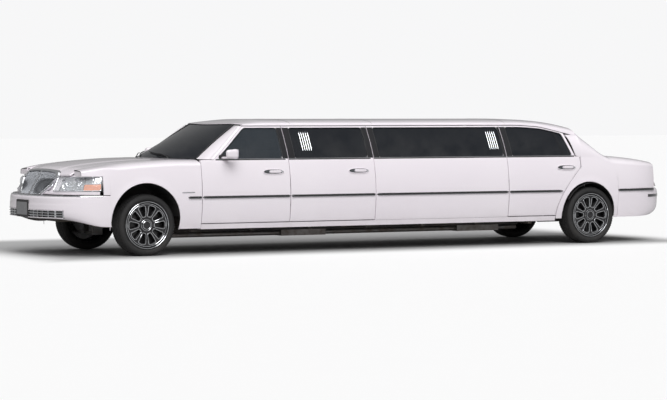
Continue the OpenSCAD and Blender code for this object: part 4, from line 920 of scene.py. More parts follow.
# Panels between the middle and rear doors, with the long fixed window
panelRear, panelFront = doorLeads["rear"] + gap, doorLeads["panel"]
longRear, longFront = doorLeads["rear"] + 0.036, doorLeads["panel"] - 0.074
stretchParts = [lowerPanel(constant(panelRear), constant(panelFront), car["rockerTop"] + 0.001, beltZ - 0.005, 0.92,
    columns=44), windowRing(constant(panelRear), constant(panelFront), constant(longRear), constant(longFront), flatTop,
    pearlPaint), windowTrim(constant(longRear), constant(longFront), flatTop, sealRubber),
    pillarCover(constant(panelRear + 0.0015), constant(longRear + 0.003), flatTop),
    pillarCover(constant(longFront - 0.003), constant(panelFront - 0.0015), flatTop)]
x = np.linspace(panelRear, panelFront, 20)
stretchParts.append(skin(np.array([np.stack([x, np.full(20, y), np.full(20, z)], -1) for y,
    z in ((0.9375, beltZ - 0.008), (0.934, beltZ - 0.002), (0.927, beltZ + 0.001), (0.897, beltZ + 0.001), (0.897,
    beltZ - 0.008))]), pearlPaint, closeRows=True))
stretchParts += beltStrip(panelRear + 0.002, panelFront - 0.002) + mouldingStrip(panelRear + 0.002, panelFront - 0.002,
    (0.004, 0.004))
stretchParts += slats(-4.655)
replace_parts(makePiece("stretchPanels", bothSides(stretchParts), "chassis"), "stretch_panels")
makePiece("longWindows", bothSides([windowPane(constant(longRear), constant(longFront), flatTop,
    tintedGlass)]), "chassis")

# Fenders and quarter panels

arches = dict(frontX=0.040, frontR=0.430, frontZ=0.400, rearR=0.395, rearZ=0.373, flare=0.006,
    flareWidth=0.045)
rearArchX = rearX + 0.053


def shoulderSection(xs, bottom, shoulder, edgeY, edgeZ, power, thickness, rows=26, roll=16):
    # Rows up the side to the shoulder, then a superellipse quarter rolling in to the panel's upper edge.
    t = np.linspace(0, 1, rows)[None, :]
    z = bottom[:, None] + t * (shoulder - bottom)[:, None]
    xx = xs[:, None] + 0 * z
    side = np.stack([xx, halfPlan(xx) - sideDrop(z) - thickness, z], -1)
    a = np.linspace(0, np.pi / 2, roll)[None, 1:]
    base = (halfPlan(xs) - sideDrop(shoulder))[:, None]
    p = power[:, None]
    y = edgeY[:, None] + (base - edgeY[:, None]) * np.cos(a) ** p - thickness * np.cos(a * 0.9)
    z2 = shoulder[:, None] + (edgeZ - shoulder)[:, None] * np.sin(a) ** p - thickness * np.sin(a * 0.9)
    return np.concatenate([side, np.stack([xs[:, None] + 0 * y, y, z2], -1)], 1)


def archFlare(points, centre, radius, z):
    # Pushes the skin outwards near the wheel arch, as a soft lip.
    far = np.hypot(points[..., 0] - centre, np.maximum(points[..., 2] - z, 0)) - radius
    push = arches["flare"] * np.exp(-(np.clip(far, 0, None) / arches["flareWidth"]) ** 2)
    points[..., 1] += push * (points[..., 2] < 0.95)
    return points


def archBottom(xs, centre, radius, z, outside):
    inside = np.abs(xs - centre) < radius + 1e-5
    return np.where(inside, z + np.sqrt(np.maximum(radius ** 2 - (xs - centre) ** 2, 0)), outside)


lampRearX = 0.560
archAngles = np.radians(np.linspace(0, 180, 49))
fenderX = np.concatenate([np.linspace(doorLeads["front"] + gap, -0.400, 12),
    [arches["frontX"] - arches["frontR"] - 0.0005], arches["frontX"] - arches["frontR"] * np.cos(archAngles),
    [arches["frontX"] + arches["frontR"] + 0.0005], np.linspace(0.482, 0.507, 4), [0.509, 0.535, lampRearX - 0.001],
    [lampRearX + 0.001], np.linspace(0.58, 0.790, 12)])
fenderBottom = np.where(fenderX > lampRearX, 0.905, np.where(fenderX > 0.4705, 0.697, archBottom(fenderX,
    arches["frontX"], arches["frontR"], arches["frontZ"], car["sillZ"] + 0.010)))
edgeY = hoodEdgeY(fenderX) + 0.005
edgeZ = hoodZ(fenderX, hoodEdgeY(fenderX))
lowShoulder = np.minimum(beltZ - 0.060, edgeZ - lerp(0.085, 0.030, smoothStep(0.30, 0.60, fenderX)))
fenderPower = np.full(len(fenderX), 0.85)
fenderOuter = archFlare(shoulderSection(fenderX, fenderBottom, lowShoulder, edgeY, edgeZ, fenderPower, 0.0),
    arches["frontX"], arches["frontR"], arches["frontZ"])
fenderInner = shoulderSection(fenderX, fenderBottom, lowShoulder, edgeY, edgeZ, fenderPower, 0.012)
fenderParts = [shell(fenderOuter, fenderInner, pearlPaint)]
a = np.radians(np.linspace(-14, 180, 70))
lipX = arches["frontX"] - arches["frontR"] * np.cos(a)
lipZ = arches["frontZ"] + arches["frontR"] * np.sin(a)
lipPath = np.stack([lipX, halfPlan(lipX) - sideDrop(lipZ) + 0.001, lipZ], -1)
fenderParts.append(sweep(circle(0.006, 10), lipPath, pearlPaint, up=(0, 1, 0)))
fenderParts += mouldingStrip(-0.650, -0.476, (0.01, 0.03))
fenderParts.append(pillow((-0.563, float(sideY(np.array(-0.48), np.array(0.712))) - 0.004, 0.706), (-0.400,
    float(sideY(np.array(-0.48), np.array(0.712))) + 0.004, 0.718), chromeTrim, power=0.3, counts=(24, 8)))
# The fender's tip, closed down to the lamp
tip = fenderOuter[-1]
foot = np.stack([tip[:, 0], tip[:, 1], np.minimum(tip[:, 2], 0.899)], -1)
closing = np.stack([lerp(tip, foot, t) for t in np.linspace(0, 1, 5)])
fenderParts.append(shell(closing, closing - [0.010, 0, 0], pearlPaint))
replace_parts(makePiece("frontFenders", bothSides(fenderParts), "chassis"), "front_fenders")

quarterFront = rearTrail - gap
bumperRearX = rearX - 0.385


def quarterEdge(xs):
    # Upper edge of the quarter panel: beside the boot lid, up beside the back window, then under the roof's edge.
    innerY = smoothAlong([[rearX - 0.25, halfWidth - 0.340], [rearX - 0.060, halfWidth - 0.347], [rearX + 0.145,
        0.598]], xs)
    topZ = smoothAlong([[rearX - 0.300, beltZ + 0.005], [rearX - 0.200, beltZ + 0.056], [rearX - 0.060, beltZ + 0.168],
        [rearX + 0.076, beltZ + 0.284], [rearX + 0.145, float(roofZ(np.array(rearX + 0.146), np.array(0.6)))]], xs)
    under = xs > rearX + 0.1455
    y = np.where(under, roofSideY(xs) + 0.0005, innerY)
    z = np.where(under, roofSideZ(xs) - 0.001, np.where(xs < rearX - 0.300, deckZ(xs), topZ))
    return y, z


archTurn = rearArchX - arches["rearR"] * np.cos(archAngles)
quarterX = np.concatenate([np.linspace(rearX - 1.015, bumperRearX - 0.001, 26), [bumperRearX + 0.001],
    [rearArchX - arches["rearR"] - 0.0005], archTurn[archTurn < rearX + 0.1450], [rearX + 0.1452, rearX + 0.1458],
    archTurn[archTurn > rearX + 0.150], [rearArchX + arches["rearR"] + 0.0005, rearTrail + 0.352, rearTrail + 0.375]])
startX = np.minimum(quarterX, quarterFront)
quarterLow = np.where(quarterX < bumperRearX, 0.672, archBottom(quarterX, rearArchX, arches["rearR"], arches["rearZ"],
    car["sillZ"] + 0.025))
shoulderZ = smoothAlong([[rearX - 1.0, beltZ - 0.15], [rearX - 0.400, beltZ - 0.120], [rearX - 0.060, beltZ - 0.010]],
    startX)
rollPower = smoothAlong([[rearX - 0.350, 0.85], [rearX - 0.06, 0.95], [rearX + 0.132, 1.05], [quarterFront, 1.15]],
    startX)
qy, qz = quarterEdge(startX)
behind = (len(quarterX) - 1 - np.arange(len(quarterX)))[:, None]


def quarterSheet(thickness):
    points = shoulderSection(startX, quarterLow, shoulderZ, qy, qz, rollPower, thickness, rows=34)
    z = points[..., 2]
    nominal = np.where(z > beltZ, beltZ + (z - beltZ) * (doorTopZ - beltZ) / (doorTop(rearEdge(z)) - beltZ), z)
    nominal = np.where(z > beltZ, beltZ + (z - beltZ) * (doorTopZ - beltZ) / (doorTop(rearEdge(nominal)) - beltZ), z)
    edge = rearEdge(np.minimum(nominal, doorTopZ)) - gap
    clear = np.where(startX[:, None] > quarterFront - 1e-6, 0.0004 * behind, 0)
    points[..., 0] = np.minimum(quarterX[:, None] + 0 * edge, edge - clear)
    return points


quarterOuter = archFlare(quarterSheet(0.0), rearArchX, arches["rearR"], arches["rearZ"])
quarterParts = [shell(quarterOuter, quarterSheet(0.012), pearlPaint)]
lipX = rearArchX - arches["rearR"] * np.cos(np.radians(np.linspace(-8, 176, 70)))
lipZ = arches["rearZ"] + arches["rearR"] * np.sin(np.radians(np.linspace(-8, 176, 70)))
quarterParts.append(sweep(circle(0.006, 10), np.stack([lipX, halfPlan(lipX) - sideDrop(lipZ) + 0.001, lipZ], -1),
    pearlPaint, up=(0, 1, 0)))
quarterParts += mouldingStrip(-7.060, -6.420, (0.04, 0.02))
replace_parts(makePiece("quarterPanels", bothSides(quarterParts), "chassis"), "quarter_panels")
print("side panels built")


# Roof, glass, hood and boot lid

roofX = np.concatenate([np.linspace(0, 1, 26)[:-1], np.linspace(1, 2, 30)[:-1], np.linspace(2, 3, 14)])
roofV = np.sin(np.linspace(-np.pi / 2, np.pi / 2, 73)) * 0.6 + np.linspace(-1, 1, 73) * 0.4
roofV = roofV[::-1]


def roofSheet(lift):
    # Roof: three stretches from the back window to the level part and on to the windscreen, crowned across.
    v = roofV[None, :]
    rearLine = backTopX(v * 0.76)
    a, b, c = rearX + 1.038 + 0 * v, -1.628 + 0 * v, screenTopX(v) - 0.006
    u = roofX[:, None]
    x = np.where(u < 1, lerp(rearLine, a, np.clip(u, 0, 1)), np.where(u < 2, lerp(a, b, np.clip(u - 1, 0, 1)), lerp(b,
        c, np.clip(u - 2, 0, 1))))
    y = v * roofSideY(x)
    return np.stack([x, y, roofZ(x, y) - lift], -1)


roofParts = [shell(roofSheet(0), roofSheet(0.010), pearlPaint)]
# Seams across the roof where the stretch was let in, the drip rail along its edge, and a dark strip inside the rail as
# painted shade of the gap under the roof's edge
for seamX in (-1.926, -3.033, -4.909):
    v = np.linspace(-0.992, 0.992, 60)
    y = v * roofSideY(np.full(60, seamX))
    roofParts.append(sweep(np.array([[-0.0022, -0.002], [0.0022, -0.002], [0.0022, 0.0008], [-0.0022, 0.0008]]),
        np.stack([np.full(60, seamX), y, roofZ(np.full(60, seamX), y)], -1), sealRubber))
t = np.linspace(0, 1, 120)
railX = lerp(rearX + 0.165, -1.272, t)
for side in (1, -1):
    rail = np.stack([railX, side * (roofSideY(railX) + 0.002), roofSideZ(railX) - 0.0055], -1)
    roofParts.append(sweep(circle(0.0042, 10, 1.0), rail, pearlPaint))
    # Dark strip inside the rail: painted shade in the gap under the roof's edge
    paintedShade = np.stack([railX, side * (roofSideY(railX) - 0.008), roofSideZ(railX) - 0.011], -1)
    roofParts.append(sweep(np.array([[-0.01, -0.003], [0.006, -0.003], [0.006, 0.006], [-0.01, 0.006]]), paintedShade,
        sealRubber))
lining = roofSheet(0.030)[4:-4, 6:-6]
roofParts.append(shell(lining, lining - [0, 0, 0.006], roofCloth))
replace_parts(makePiece("roofPanel", roofParts, "chassis"), "roof")

screen = dict(side=0.735, topSide=0.590, thickness=0.006, bow=0.060, backSide=0.651, backTopSide=0.593, backBow=0.070)


def screenPoint(u, v, depth):
    # Windscreen: from the scuttle to the roof's front edge, bowed forward between them.
    top = screenTopX(v * 0.81) - 0.014
    x = lerp(screenBaseX(v), top, u) - depth * 0.45 + screen["bow"] * u * (1 - u)
    y = v * lerp(screen["side"], screen["topSide"], u)
    topZ = roofZ(top, v * screen["topSide"]) - 0.012
    return np.stack([x + 0 * y, y, lerp(beltZ + 0.020 - 0.010 * v * v, topZ, u) - depth], -1)


def backPoint(u, v, depth):
    top = backTopX(v * screen["backTopSide"]) + 0.012
    x = lerp(backBaseX(v), top, u) + depth * 0.3 - screen["backBow"] * u * (1 - u)
    y = v * lerp(screen["backSide"], screen["backTopSide"], u)
    topZ = roofZ(top, v * screen["backTopSide"]) - 0.012
    return np.stack([x + 0 * y, y, lerp(beltZ + 0.008, topZ, u) - depth], -1)


u, v = np.linspace(0, 1, 30)[:, None], np.linspace(1, -1, 60)[None, :]
screenParts = [shell(screenPoint(u, v, 0), screenPoint(u, v, screen["thickness"]), tintedGlass),
    shell(backPoint(u, v, 0), backPoint(u, v, screen["thickness"]), tintedGlass)]
t = np.linspace(0, 1, 40)
for point in (screenPoint, backPoint):
    for side in (1, -1):  # black bands at the glass edges
        path = point(t * 0.985 + 0.005, side * (1 - 0.006 + 0 * t), -0.002)
        screenParts.append(sweep(circle(0.009, 10, 0.5), path, sealRubber, up=(0, side, 0.3)))
    path = point(0.995 + 0 * t, lerp(-1, 1, t), -0.0015)
    screenParts.append(sweep(circle(0.008, 10, 0.5), path, sealRubber))
path = backPoint(0.004 + 0 * t, lerp(-0.99, 0.99, t), -0.002)
screenParts.append(sweep(circle(0.006, 10, 0.7), path, chromeTrim))
screens = makePiece("screenGlass", screenParts, "chassis")
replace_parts(screens, "fixed_glass")

# Windscreen pillars: a rounded section between the glass edge and the front door's leading edge
t = np.linspace(0, 1, 40)
pillarZ = lerp(beltZ + 0.006, doorTopZ + 0.004, t)
doorX = frontEdge(pillarZ) + gap
glassPath = screenPoint(t * 0.985, 1 + 0 * t, 0)
hy = houseY(pillarZ)
section = [np.stack([doorX, hy - 0.001, pillarZ], -1), np.stack([doorX, hy - 0.055, pillarZ], -1),
    np.stack([glassPath[:, 0] - 0.030, glassPath[:, 1] + 0.004, pillarZ - 0.004], -1),
    np.stack([glassPath[:, 0] + 0.004, glassPath[:, 1] + 0.006, pillarZ + 0.003], -1),
    np.stack([lerp(glassPath[:, 0], doorX, 0.35) + 0.020, lerp(glassPath[:, 1], hy, 0.45) + 0.012, pillarZ + 0.002],
    -1), np.stack([doorX + 0.026, hy - 0.008, pillarZ], -1), np.stack([doorX + 0.006, hy - 0.001, pillarZ], -1)]
section = np.array(section).transpose(1, 0, 2)
caps = [np.repeat(section[:1].mean(1, keepdims=True), 7, 1), np.repeat(section[-1:].mean(1, keepdims=True), 7, 1)]
pillarParts = [skin(np.concatenate([caps[0], section, caps[1]]), pearlPaint, closeColumns=True)]
makePiece("screenPillars", bothSides(pillarParts), "chassis", angle=40)

hood = dict(roundEdge=0.005, rearX=-0.345, rearSweep=0.245)


def hoodRear(v):
    return hood["rearX"] - hood["rearSweep"] * v * v


def hoodPoint(u, v, thickness):
    # Hood: from the scuttle line to the nose line, its front edge rolled down over the lamps and grille.
    rear = hoodRear(v)
    s = np.abs(v) * 0.560 / (halfWidth - 0.045)
    front = car["noseX"] + 0.545 * (1 - s ** car["nosePower"]) ** (1 / car["nosePower"])
    x = lerp(rear, front, u)
    y = v * hoodEdgeY(x)
    roll = 0.042 * np.clip((u - 0.86) / 0.14, 0, None) ** 2
    side = edgeDrop((1 - np.abs(v)) * 0.68, hood["roundEdge"])
    return np.stack([x, y, hoodZ(x, y) - roll - thickness - side], -1)


def hingeLug(outline, pivot, y, half=0.005):
    # A flat lug: its outline in x and z about the pivot, from y - half to y + half, closed at both faces.
    ring = np.asarray(outline, float) + pivot
    rings = [np.broadcast_to(ring.mean(0), ring.shape), ring, ring, np.broadcast_to(ring.mean(0), ring.shape)]
    places = (y - half, y - half, y + half, y + half)
    return skin(np.array([np.stack([r[:, 0], np.full(len(r), q), r[:, 1]], -1) for r, q in zip(rings, places)]),
        underbodyBlack, closeColumns=True)


u = np.concatenate([np.linspace(0, 0.82, 46), np.linspace(0.84, 1, 14)])[:, None]
v = np.concatenate([[1, 0.9985, 0.996, 0.993], np.linspace(0.985, -0.985, 70), [-0.993, -0.996, -0.9985, -1]])[None, :]
hoodParts = [shell(hoodPoint(u, v, 0), hoodPoint(u, v, 0.012), pearlPaint)]
brace = hoodPoint(np.linspace(0.06, 0.86, 30)[:, None], np.linspace(0.88, -0.88, 30)[None, :], 0.016)
ribs = 0.010 * (np.abs(np.sin(np.linspace(0, 5 * np.pi, 30))[None, :]) + np.abs(np.sin(np.linspace(0, 3 * np.pi, 30))[:,
    None]))
brace[..., 2] -= ribs * 0.5
hoodParts.append(shell(brace, brace - [0, 0, 0.008], underbodyBlack))
for side in (1, -1):  # hinge lugs, as in the frame
    for y in (0.620, 0.660):
        hoodParts.append(hingeLug([(-0.007, -0.010), (0.060, -0.012), (0.060, 0.020), (0.030, 0.020), (-0.007, 0.008)],
            (-0.600, 1.045), side * y))
    hoodParts.append(lathe([[0, -0.0147], [0.006, -0.0147], [0.006, 0.0147], [0, 0.0147]], bareSteel, centre=(-0.600,
        side * 0.640, 1.045), count=24))
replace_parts(makePiece("hoodPanel", hoodParts, "hood"), "hood")

lid = dict(edgeY=0.646, rear=rearX - 1.050, bottom=0.730, roundEdge=0.005, front=rearX - 0.412, bow=0.020)


def lidFront(v):
    return lid["front"] + lid["bow"] * v * v


def lidPoint(s, v, thickness):
    # Boot lid: deck from its front edge back to the tail, then down the back, with a rounded corner between.
    front, tail = lidFront(v), lid["rear"] - 0.060 * (1 - v * v)
    y = v * lid["edgeY"]
    across = np.clip(s, 0, 1)
    x = lerp(front, tail, across)
    z = deckZ(x) + 0.010 * (1 - v * v) * across
    corner = 0.035
    down = np.clip(s - 1, 0, 1)
    topTail = deckZ(tail) + 0.010 * (1 - v * v)
    bend = np.clip((s - 0.94) / 0.10, 0, 1)
    z = z - corner * (1 - np.sqrt(np.maximum(1 - np.clip((s - 0.94) / 0.06, 0, 1) ** 2, 0))) * (s <= 1)
    z = np.where(s > 1, lerp(topTail - corner, lid["bottom"], down), z)
    hollow = 0.016 * np.sin(np.pi * np.clip(down * 1.15 - 0.1, 0, 1))
    x = np.where(s > 1, tail - 0.006 - 0.022 * np.sqrt(down) + hollow, x)
    side = edgeDrop((1 - np.abs(v)) * lid["edgeY"], lid["roundEdge"])
    x = x + np.where(s > 1, thickness + side, 0)
    z = z - np.where(s > 1, 0, thickness + side)
    return np.stack([x + 0 * y, y + 0 * x, z + 0 * y], -1)


s = np.concatenate([np.linspace(0, 0.93, 34), np.linspace(0.94, 1.0, 12), np.linspace(1.03, 2, 22)])[:, None]
v = np.concatenate([[1, 0.998, 0.995, 0.992], np.linspace(0.985, -0.985, 56), [-0.992, -0.995, -0.998, -1]])[None, :]
lidParts = [shell(lidPoint(s, v, 0), lidPoint(s, v, 0.012), pearlPaint)]
for side in (1, -1):
    for y in (0.480, 0.520):
        lidParts.append(pillow((rearX - 0.493, side * y - 0.005, 1.025), (rearX - 0.428, side * y + 0.005, 1.056),
            underbodyBlack, power=0.2, counts=(24, 10)))
    lidParts.append(lathe([[0, -0.0147], [0.006, -0.0147], [0.006, 0.0147], [0, 0.0147]], bareSteel,
        centre=(rearX - 0.440, side * 0.500, 1.035), count=24))
v = np.linspace(-0.62, 0.62, 40)
bar = lidPoint(np.full(40, 1.30), v, -0.006)
lidParts.append(sweep(circle(0.013, 12, 0.45), bar, chromeTrim, up=(1, 0, 0), taper=np.clip((0.62 - np.abs(v)) / 0.03,
    0.3, 1) ** 0.5))
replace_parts(makePiece("bootLid", lidParts, "boot_lid"), "boot_lid")

# Fixed panel between the back window and the boot lid
t, v = np.linspace(0, 1, 8)[:, None], np.linspace(1, -1, 50)[None, :]
tulip = []
for depth in (0, 0.010):
    x = lerp(backBaseX(v) + 0.004, lidFront(v) + 0.006, t)
    y = v * lerp(0.652, 0.6455, t)
    z = lerp(beltZ + 0.006, deckZ(rearX - 0.400 + 0 * v), t ** 0.8) - depth
    tulip.append(np.stack([x, y, z + 0 * x], -1))
makePiece("rearDeck", [shell(tulip[0], tulip[1], pearlPaint)], "chassis")

# Scuttle cover with slots, and the wipers lying on the glass
scuttleParts = []
t, v = np.linspace(0, 1, 14)[:, None], np.linspace(1, -1, 90)[None, :]
cover = []
for depth in (0, 0.006):
    hoodEnd = hoodRear(v) - 0.010
    x = lerp(screenBaseX(v) + 0.006, hoodEnd, t)
    y = v * lerp(0.735, 0.683, t)
    z = lerp(beltZ + 0.010 - 0.010 * v * v, hoodZ(hoodEnd, y) - 0.024, t) - 0.012 * np.sin(np.pi * t) - depth
    z = z - 0.004 * (np.sin(v * 150) > 0.2) * (t > 0.3) * (t < 0.8) * (depth == 0)
    cover.append(np.stack([x, y, z], -1))
scuttleParts.append(shell(cover[0], cover[1], blackPlastic))
for pivotY, tipV, reach in ((0.46, -0.10, 0.20), (-0.12, -0.74, 0.20)):
    pivot = np.array([float(screenBaseX(np.array(pivotY / 0.735))) + 0.035, pivotY, beltZ + 0.014])
    scuttleParts.append(lathe([[0, 0.020], [0.010, 0.019], [0.014, 0.010], [0.014, -0.02], [0, -0.02]], blackPlastic,
        centre=pivot, axis="z", count=20))
    middle = screenPoint(np.array(0.075), np.array((pivotY - 0.26) / 0.72), -0.020)
    t = np.linspace(0, 1, 16)[:, None]
    arm = pivot + [0, 0, 0.016] + t * (middle - pivot - [0, 0, 0.016]) + np.sin(np.pi * t) * [0.0, 0, 0.014]
    scuttleParts.append(sweep(circle(0.0065, 8, 0.6), arm, blackPlastic))
    vb = np.linspace(pivotY / 0.72 - 0.02, tipV, 26)
    blade = screenPoint(np.linspace(0.030, 0.155, 26), vb, -0.010)
    scuttleParts.append(sweep(circle(0.006, 8, 1.3), blade, blackPlastic,
        taper=np.clip(np.sin(np.linspace(0.15, np.pi - 0.15, 26)) * 1.6, 0.3, 1)))
makePiece("scuttleCover", scuttleParts, "chassis")
print("roof, hood and lid built")


# Nose: bumper, grille and headlamps

nose = dict(shelf=0.6886, bumperBack=math.radians(84.9))


def endSheet(pointAt, angles, rows, thickness):
    # Sheet over one end: signed angles across, rows of (height, setback) up; thickness pushes it inwards.
    zs, back = np.asarray(rows).T
    a = np.abs(angles)[:, None]
    points = pointAt(a + 0 * zs[None], zs[None] + 0 * a, back[None] + thickness)
    points[..., 1] = np.sign(angles)[:, None] * (points[..., 1] - thickness * np.abs(np.sin(a)))
    return points


def finer(rows, count):
    rows = np.asarray(rows, float)
    t, fine = np.arange(len(rows)), np.linspace(0, len(rows) - 1, count)
    z = smoothAlong(np.stack([t, rows[:, 0]], -1), fine)
    back = smoothAlong(np.stack([t, rows[:, 1]], -1), fine)
    return np.stack([z, back], -1)


angles = np.concatenate([[nose["bumperBack"], nose["bumperBack"] * 0.998], np.linspace(nose["bumperBack"] * 0.99,
    -nose["bumperBack"] * 0.99, 121), [-nose["bumperBack"] * 0.998, -nose["bumperBack"]]])
bumperRows = [0, 0.009] + finer([[0.400, 0.085], [0.412, 0.045], [0.440, 0.014], [0.500, 0.0], [0.575, 0.002], [0.600,
    0.006], [0.655, 0.010], [0.676, 0.022], [0.684, 0.050], [nose["shelf"], 0.103]], 56)


def drooped(points):
    # The bumper's lower edge falls from the middle towards the wheels.
    share = np.clip((0.60 - points[..., 2]) / 0.20, 0, 1)
    points[..., 2] -= share * (0.085 * smoothStep(0.98, 0.52, points[..., 0]) - 0.025)
    return points


outer = drooped(endSheet(nosePoint, angles, bumperRows, 0.0))
# Recess for the low grille, from side to side below the plate
slotMask = (smoothStep(0.745, 0.735, np.abs(outer[..., 1])) * smoothStep(0.436, 0.442, outer[...,
    2]) * smoothStep(0.528, 0.522, outer[..., 2]))
outer[..., 0] -= 0.030 * slotMask
bumperParts = [shell(outer, drooped(endSheet(nosePoint, angles, bumperRows, 0.036)), pearlPaint)]


def onNose(y, z, proud):
    # Point on the bumper's face at a height and a distance from the middle.
    s = np.abs(y) / (halfWidth - sideDrop(z))
    reach = car["noseTip"] - car["noseX"] - 0.009 + proud
    return np.stack([car["noseX"] + reach * (1 - s ** car["nosePower"]) ** (1 / car["nosePower"]), y, z], -1)


y = np.linspace(-0.735, 0.735, 100)
slotBack = np.stack([onNose(y, np.full(100, z), p) for z, p in ((0.437, -0.028), (0.437, -0.034), (0.527, -0.034),
    (0.527, -0.028))])
bumperParts.append(skin(slotBack, glossBlack, closeRows=True))
for z in (0.440, 0.4675, 0.4965, 0.524):
    bumperParts.append(sweep(np.array([[-0.011, -0.0035], [0.012, -0.0035], [0.014, 0.0], [0.012, 0.0035], [-0.011,
        0.0035]]), onNose(y, np.full(100, z), -0.010), chromeTrim if 0.45 < z < 0.52 else pearlPaint))
for y0 in np.concatenate([np.arange(0.185, 0.74, 0.092), -np.arange(0.185, 0.74, 0.092)]):
    z = np.linspace(0.440, 0.524, 5)
    bumperParts.append(sweep(np.array([[-0.004, -0.012], [0.004, -0.012], [0.004, 0.006], [-0.004, 0.006]]),
        onNose(np.full(5, y0), z, -0.014), chromeTrim, up=(1, 0, 0)))
# Bright line with a dark gap above the bumper, under the lamps
seamAngles = np.radians(np.linspace(78, 0, 60))
for side in (1, -1):
    for z, back, size, tone in ((0.6815, 0.036, 0.0055, chromeTrim), (0.6925, 0.060, 0.0050, glossBlack)):
        path = nosePoint(seamAngles, z + 0 * seamAngles, back + 0 * seamAngles) * [1, side, 1]
        bumperParts.append(sweep(circle(size, 8), path, tone))
# Plate in a dark frame
plate = dict(z=0.533, x=1.1325)
px = plate["x"]
bumperParts.append(pillow((px - 0.022, -0.170, plate["z"] - 0.098), (px + 0.0035, 0.170, plate["z"] + 0.098),
    blackPlastic, power=0.1, counts=(64, 12)))
bumperParts.append(pillow((px - 0.004, -0.148, plate["z"] - 0.072), (px + 0.0052, 0.148, plate["z"] + 0.072),
    plateBlank, power=0.08, counts=(64, 8)))
for side in (1, -1):
    bumperParts.append(lathe([[0, px + 0.0075], [0.005, px + 0.0070], [0.006, px + 0.004], [0, px + 0.004]], bareSteel,
        centre=(0, side * 0.089, plate["z"] + 0.005), axis="x", count=16))
    bumperParts.append(pillow((0.8804, min(side * 0.39, side * 0.44), 0.440), (1.085, max(side * 0.39, side * 0.44),
        0.475), underbodyBlack, power=0.1, counts=(24, 8)))
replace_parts(makePiece("frontBumper", bumperParts, "chassis"), "front_bumper")

grilleShape = dict(low=0.692, high=0.952, bars=34, footHalf=0.300, topHalf=0.445, archDrop=0.020, archPower=2.2)


def grilleHalf(t):
    return lerp(grilleShape["footHalf"], grilleShape["topHalf"], smoothStep(0.0, 0.75, t))


def grilleTop(s):
    # Height of the grille at a share of its half width.
    return grilleShape["high"] - grilleShape["archDrop"] * np.abs(s) ** grilleShape["archPower"]


def grilleLoop(grow, setback, count=160):
    # Outline of the grille: flat foot, sides leaning out, and a broad arch on top.
    loop = roundedLoop(0.10, 0.30, side=count // 8, corner=10)
    s, t = loop[:, 0] * 2 - 1, loop[:, 1]
    z = grilleShape["low"] + t * (grilleShape["high"] - grilleShape["low"] - 0.020 * np.abs(s) ** 2.2)
    half = grilleHalf(t) + grow
    y = s * half
    z = z + np.where(t > 0.5, grow, -grow)
    return np.stack([onNoseBack(y, z, setback), y, z], -1)


def onNoseBack(y, z, proud):
    s = np.clip(np.abs(y) / (halfWidth - sideDrop(z)), 0, 0.999)
    reach = car["noseTip"] - car["noseX"] - noseSetback(z) + proud
    return car["noseX"] + reach * (1 - s ** car["nosePower"]) ** (1 / car["nosePower"])


rings = np.array([grilleLoop(g, p) for g, p in ((0.0, -0.022), (0.0, 0.010), (0.005, 0.020), (0.016, 0.023), (0.026,
    0.016), (0.028, -0.004), (0.026, -0.022))])
grilleParts = [skin(rings, chromeTrim, closeRows=True, closeColumns=True)]
yy, zz = np.linspace(-0.45, 0.45, 40)[:, None], np.linspace(grilleShape["low"], grilleShape["high"], 16)[None, :]
limit = grilleHalf((zz - grilleShape["low"]) / (grilleShape["high"] - grilleShape["low"]))
yb = yy / 0.45 * limit
zb = zz - 0.020 * np.abs(yb / 0.445) ** 2.2 * (zz - grilleShape["low"]) / 0.26 + 0 * yb
sheetBack = np.stack([onNoseBack(yb, zb, -0.020), yb, zb], -1)
grilleParts.append(shell(sheetBack, sheetBack - [0.006, 0, 0], glossBlack))
t = np.linspace(0, 1, 26)
for k in range(grilleShape["bars"]):
    s = (k + 0.5) / grilleShape["bars"] * 2 - 1
    z = grilleShape["low"] + t * (grilleShape["high"] - grilleShape["low"] - 0.020 * abs(s) ** 2.2)
    y = s * grilleHalf(t)
    z = np.clip(z, None, grilleTop(s))
    path = np.stack([onNoseBack(y, z, -0.004), y, z], -1)
    blade = np.array([[-0.0026, -0.008], [0.0026, -0.008], [0.0042, 0.002], [0.0, 0.007], [-0.0042, 0.002]])
    grilleParts.append(sweep(blade, path, grilleMetal, up=(1, 0, 0)))
zc = np.linspace(grilleShape["low"], grilleShape["high"], 20)
centre = np.stack([onNoseBack(0 * zc, zc, 0.006), 0 * zc, zc], -1)
grilleParts.append(sweep(circle(0.011, 12, 0.8), centre, chromeTrim, up=(1, 0, 0)))
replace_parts(makePiece("frontGrille", grilleParts, "chassis"), "grille")

lampShape = dict(inner=0.470, outer=math.radians(74.9))


def lampOutline(s, t):
    # Headlamp field: s from inner end to outer end along the nose, t up; the top edge falls towards the grille.
    startS = np.arcsin((lampShape["inner"] / 0.96) ** (car["nosePower"] / 2))
    angle = lerp(startS + 0.035 * (1 - t), lampShape["outer"] - 0.02 * t, s)
    low = lerp(0.736, 0.744, s)
    high = lerp(0.893, 0.905, s) - 0.004 * np.sin(np.pi * s)
    return angle, low + t * (high - low)


def lampSheet(s, t, back):
    angle, z = lampOutline(s, t)
    return nosePoint(angle, z, noseSetback(z) + back)


def fieldGrid(s0, s1, t0, t1, counts):
    return np.meshgrid(np.linspace(s0, s1, counts[0]), np.linspace(t0, t1, counts[1]), indexing="ij")


def lampField(s0, s1, t0, t1, back, material, counts=(34, 14), thick=0.004, ripple=0.0):
    s, t = fieldGrid(s0, s1, t0, t1, counts)
    depth = back + ripple * np.abs(np.sin(s * 60)) * np.abs(np.sin(t * 9))
    return shell(lampSheet(s, t, depth), lampSheet(s, t, depth + thick), material)


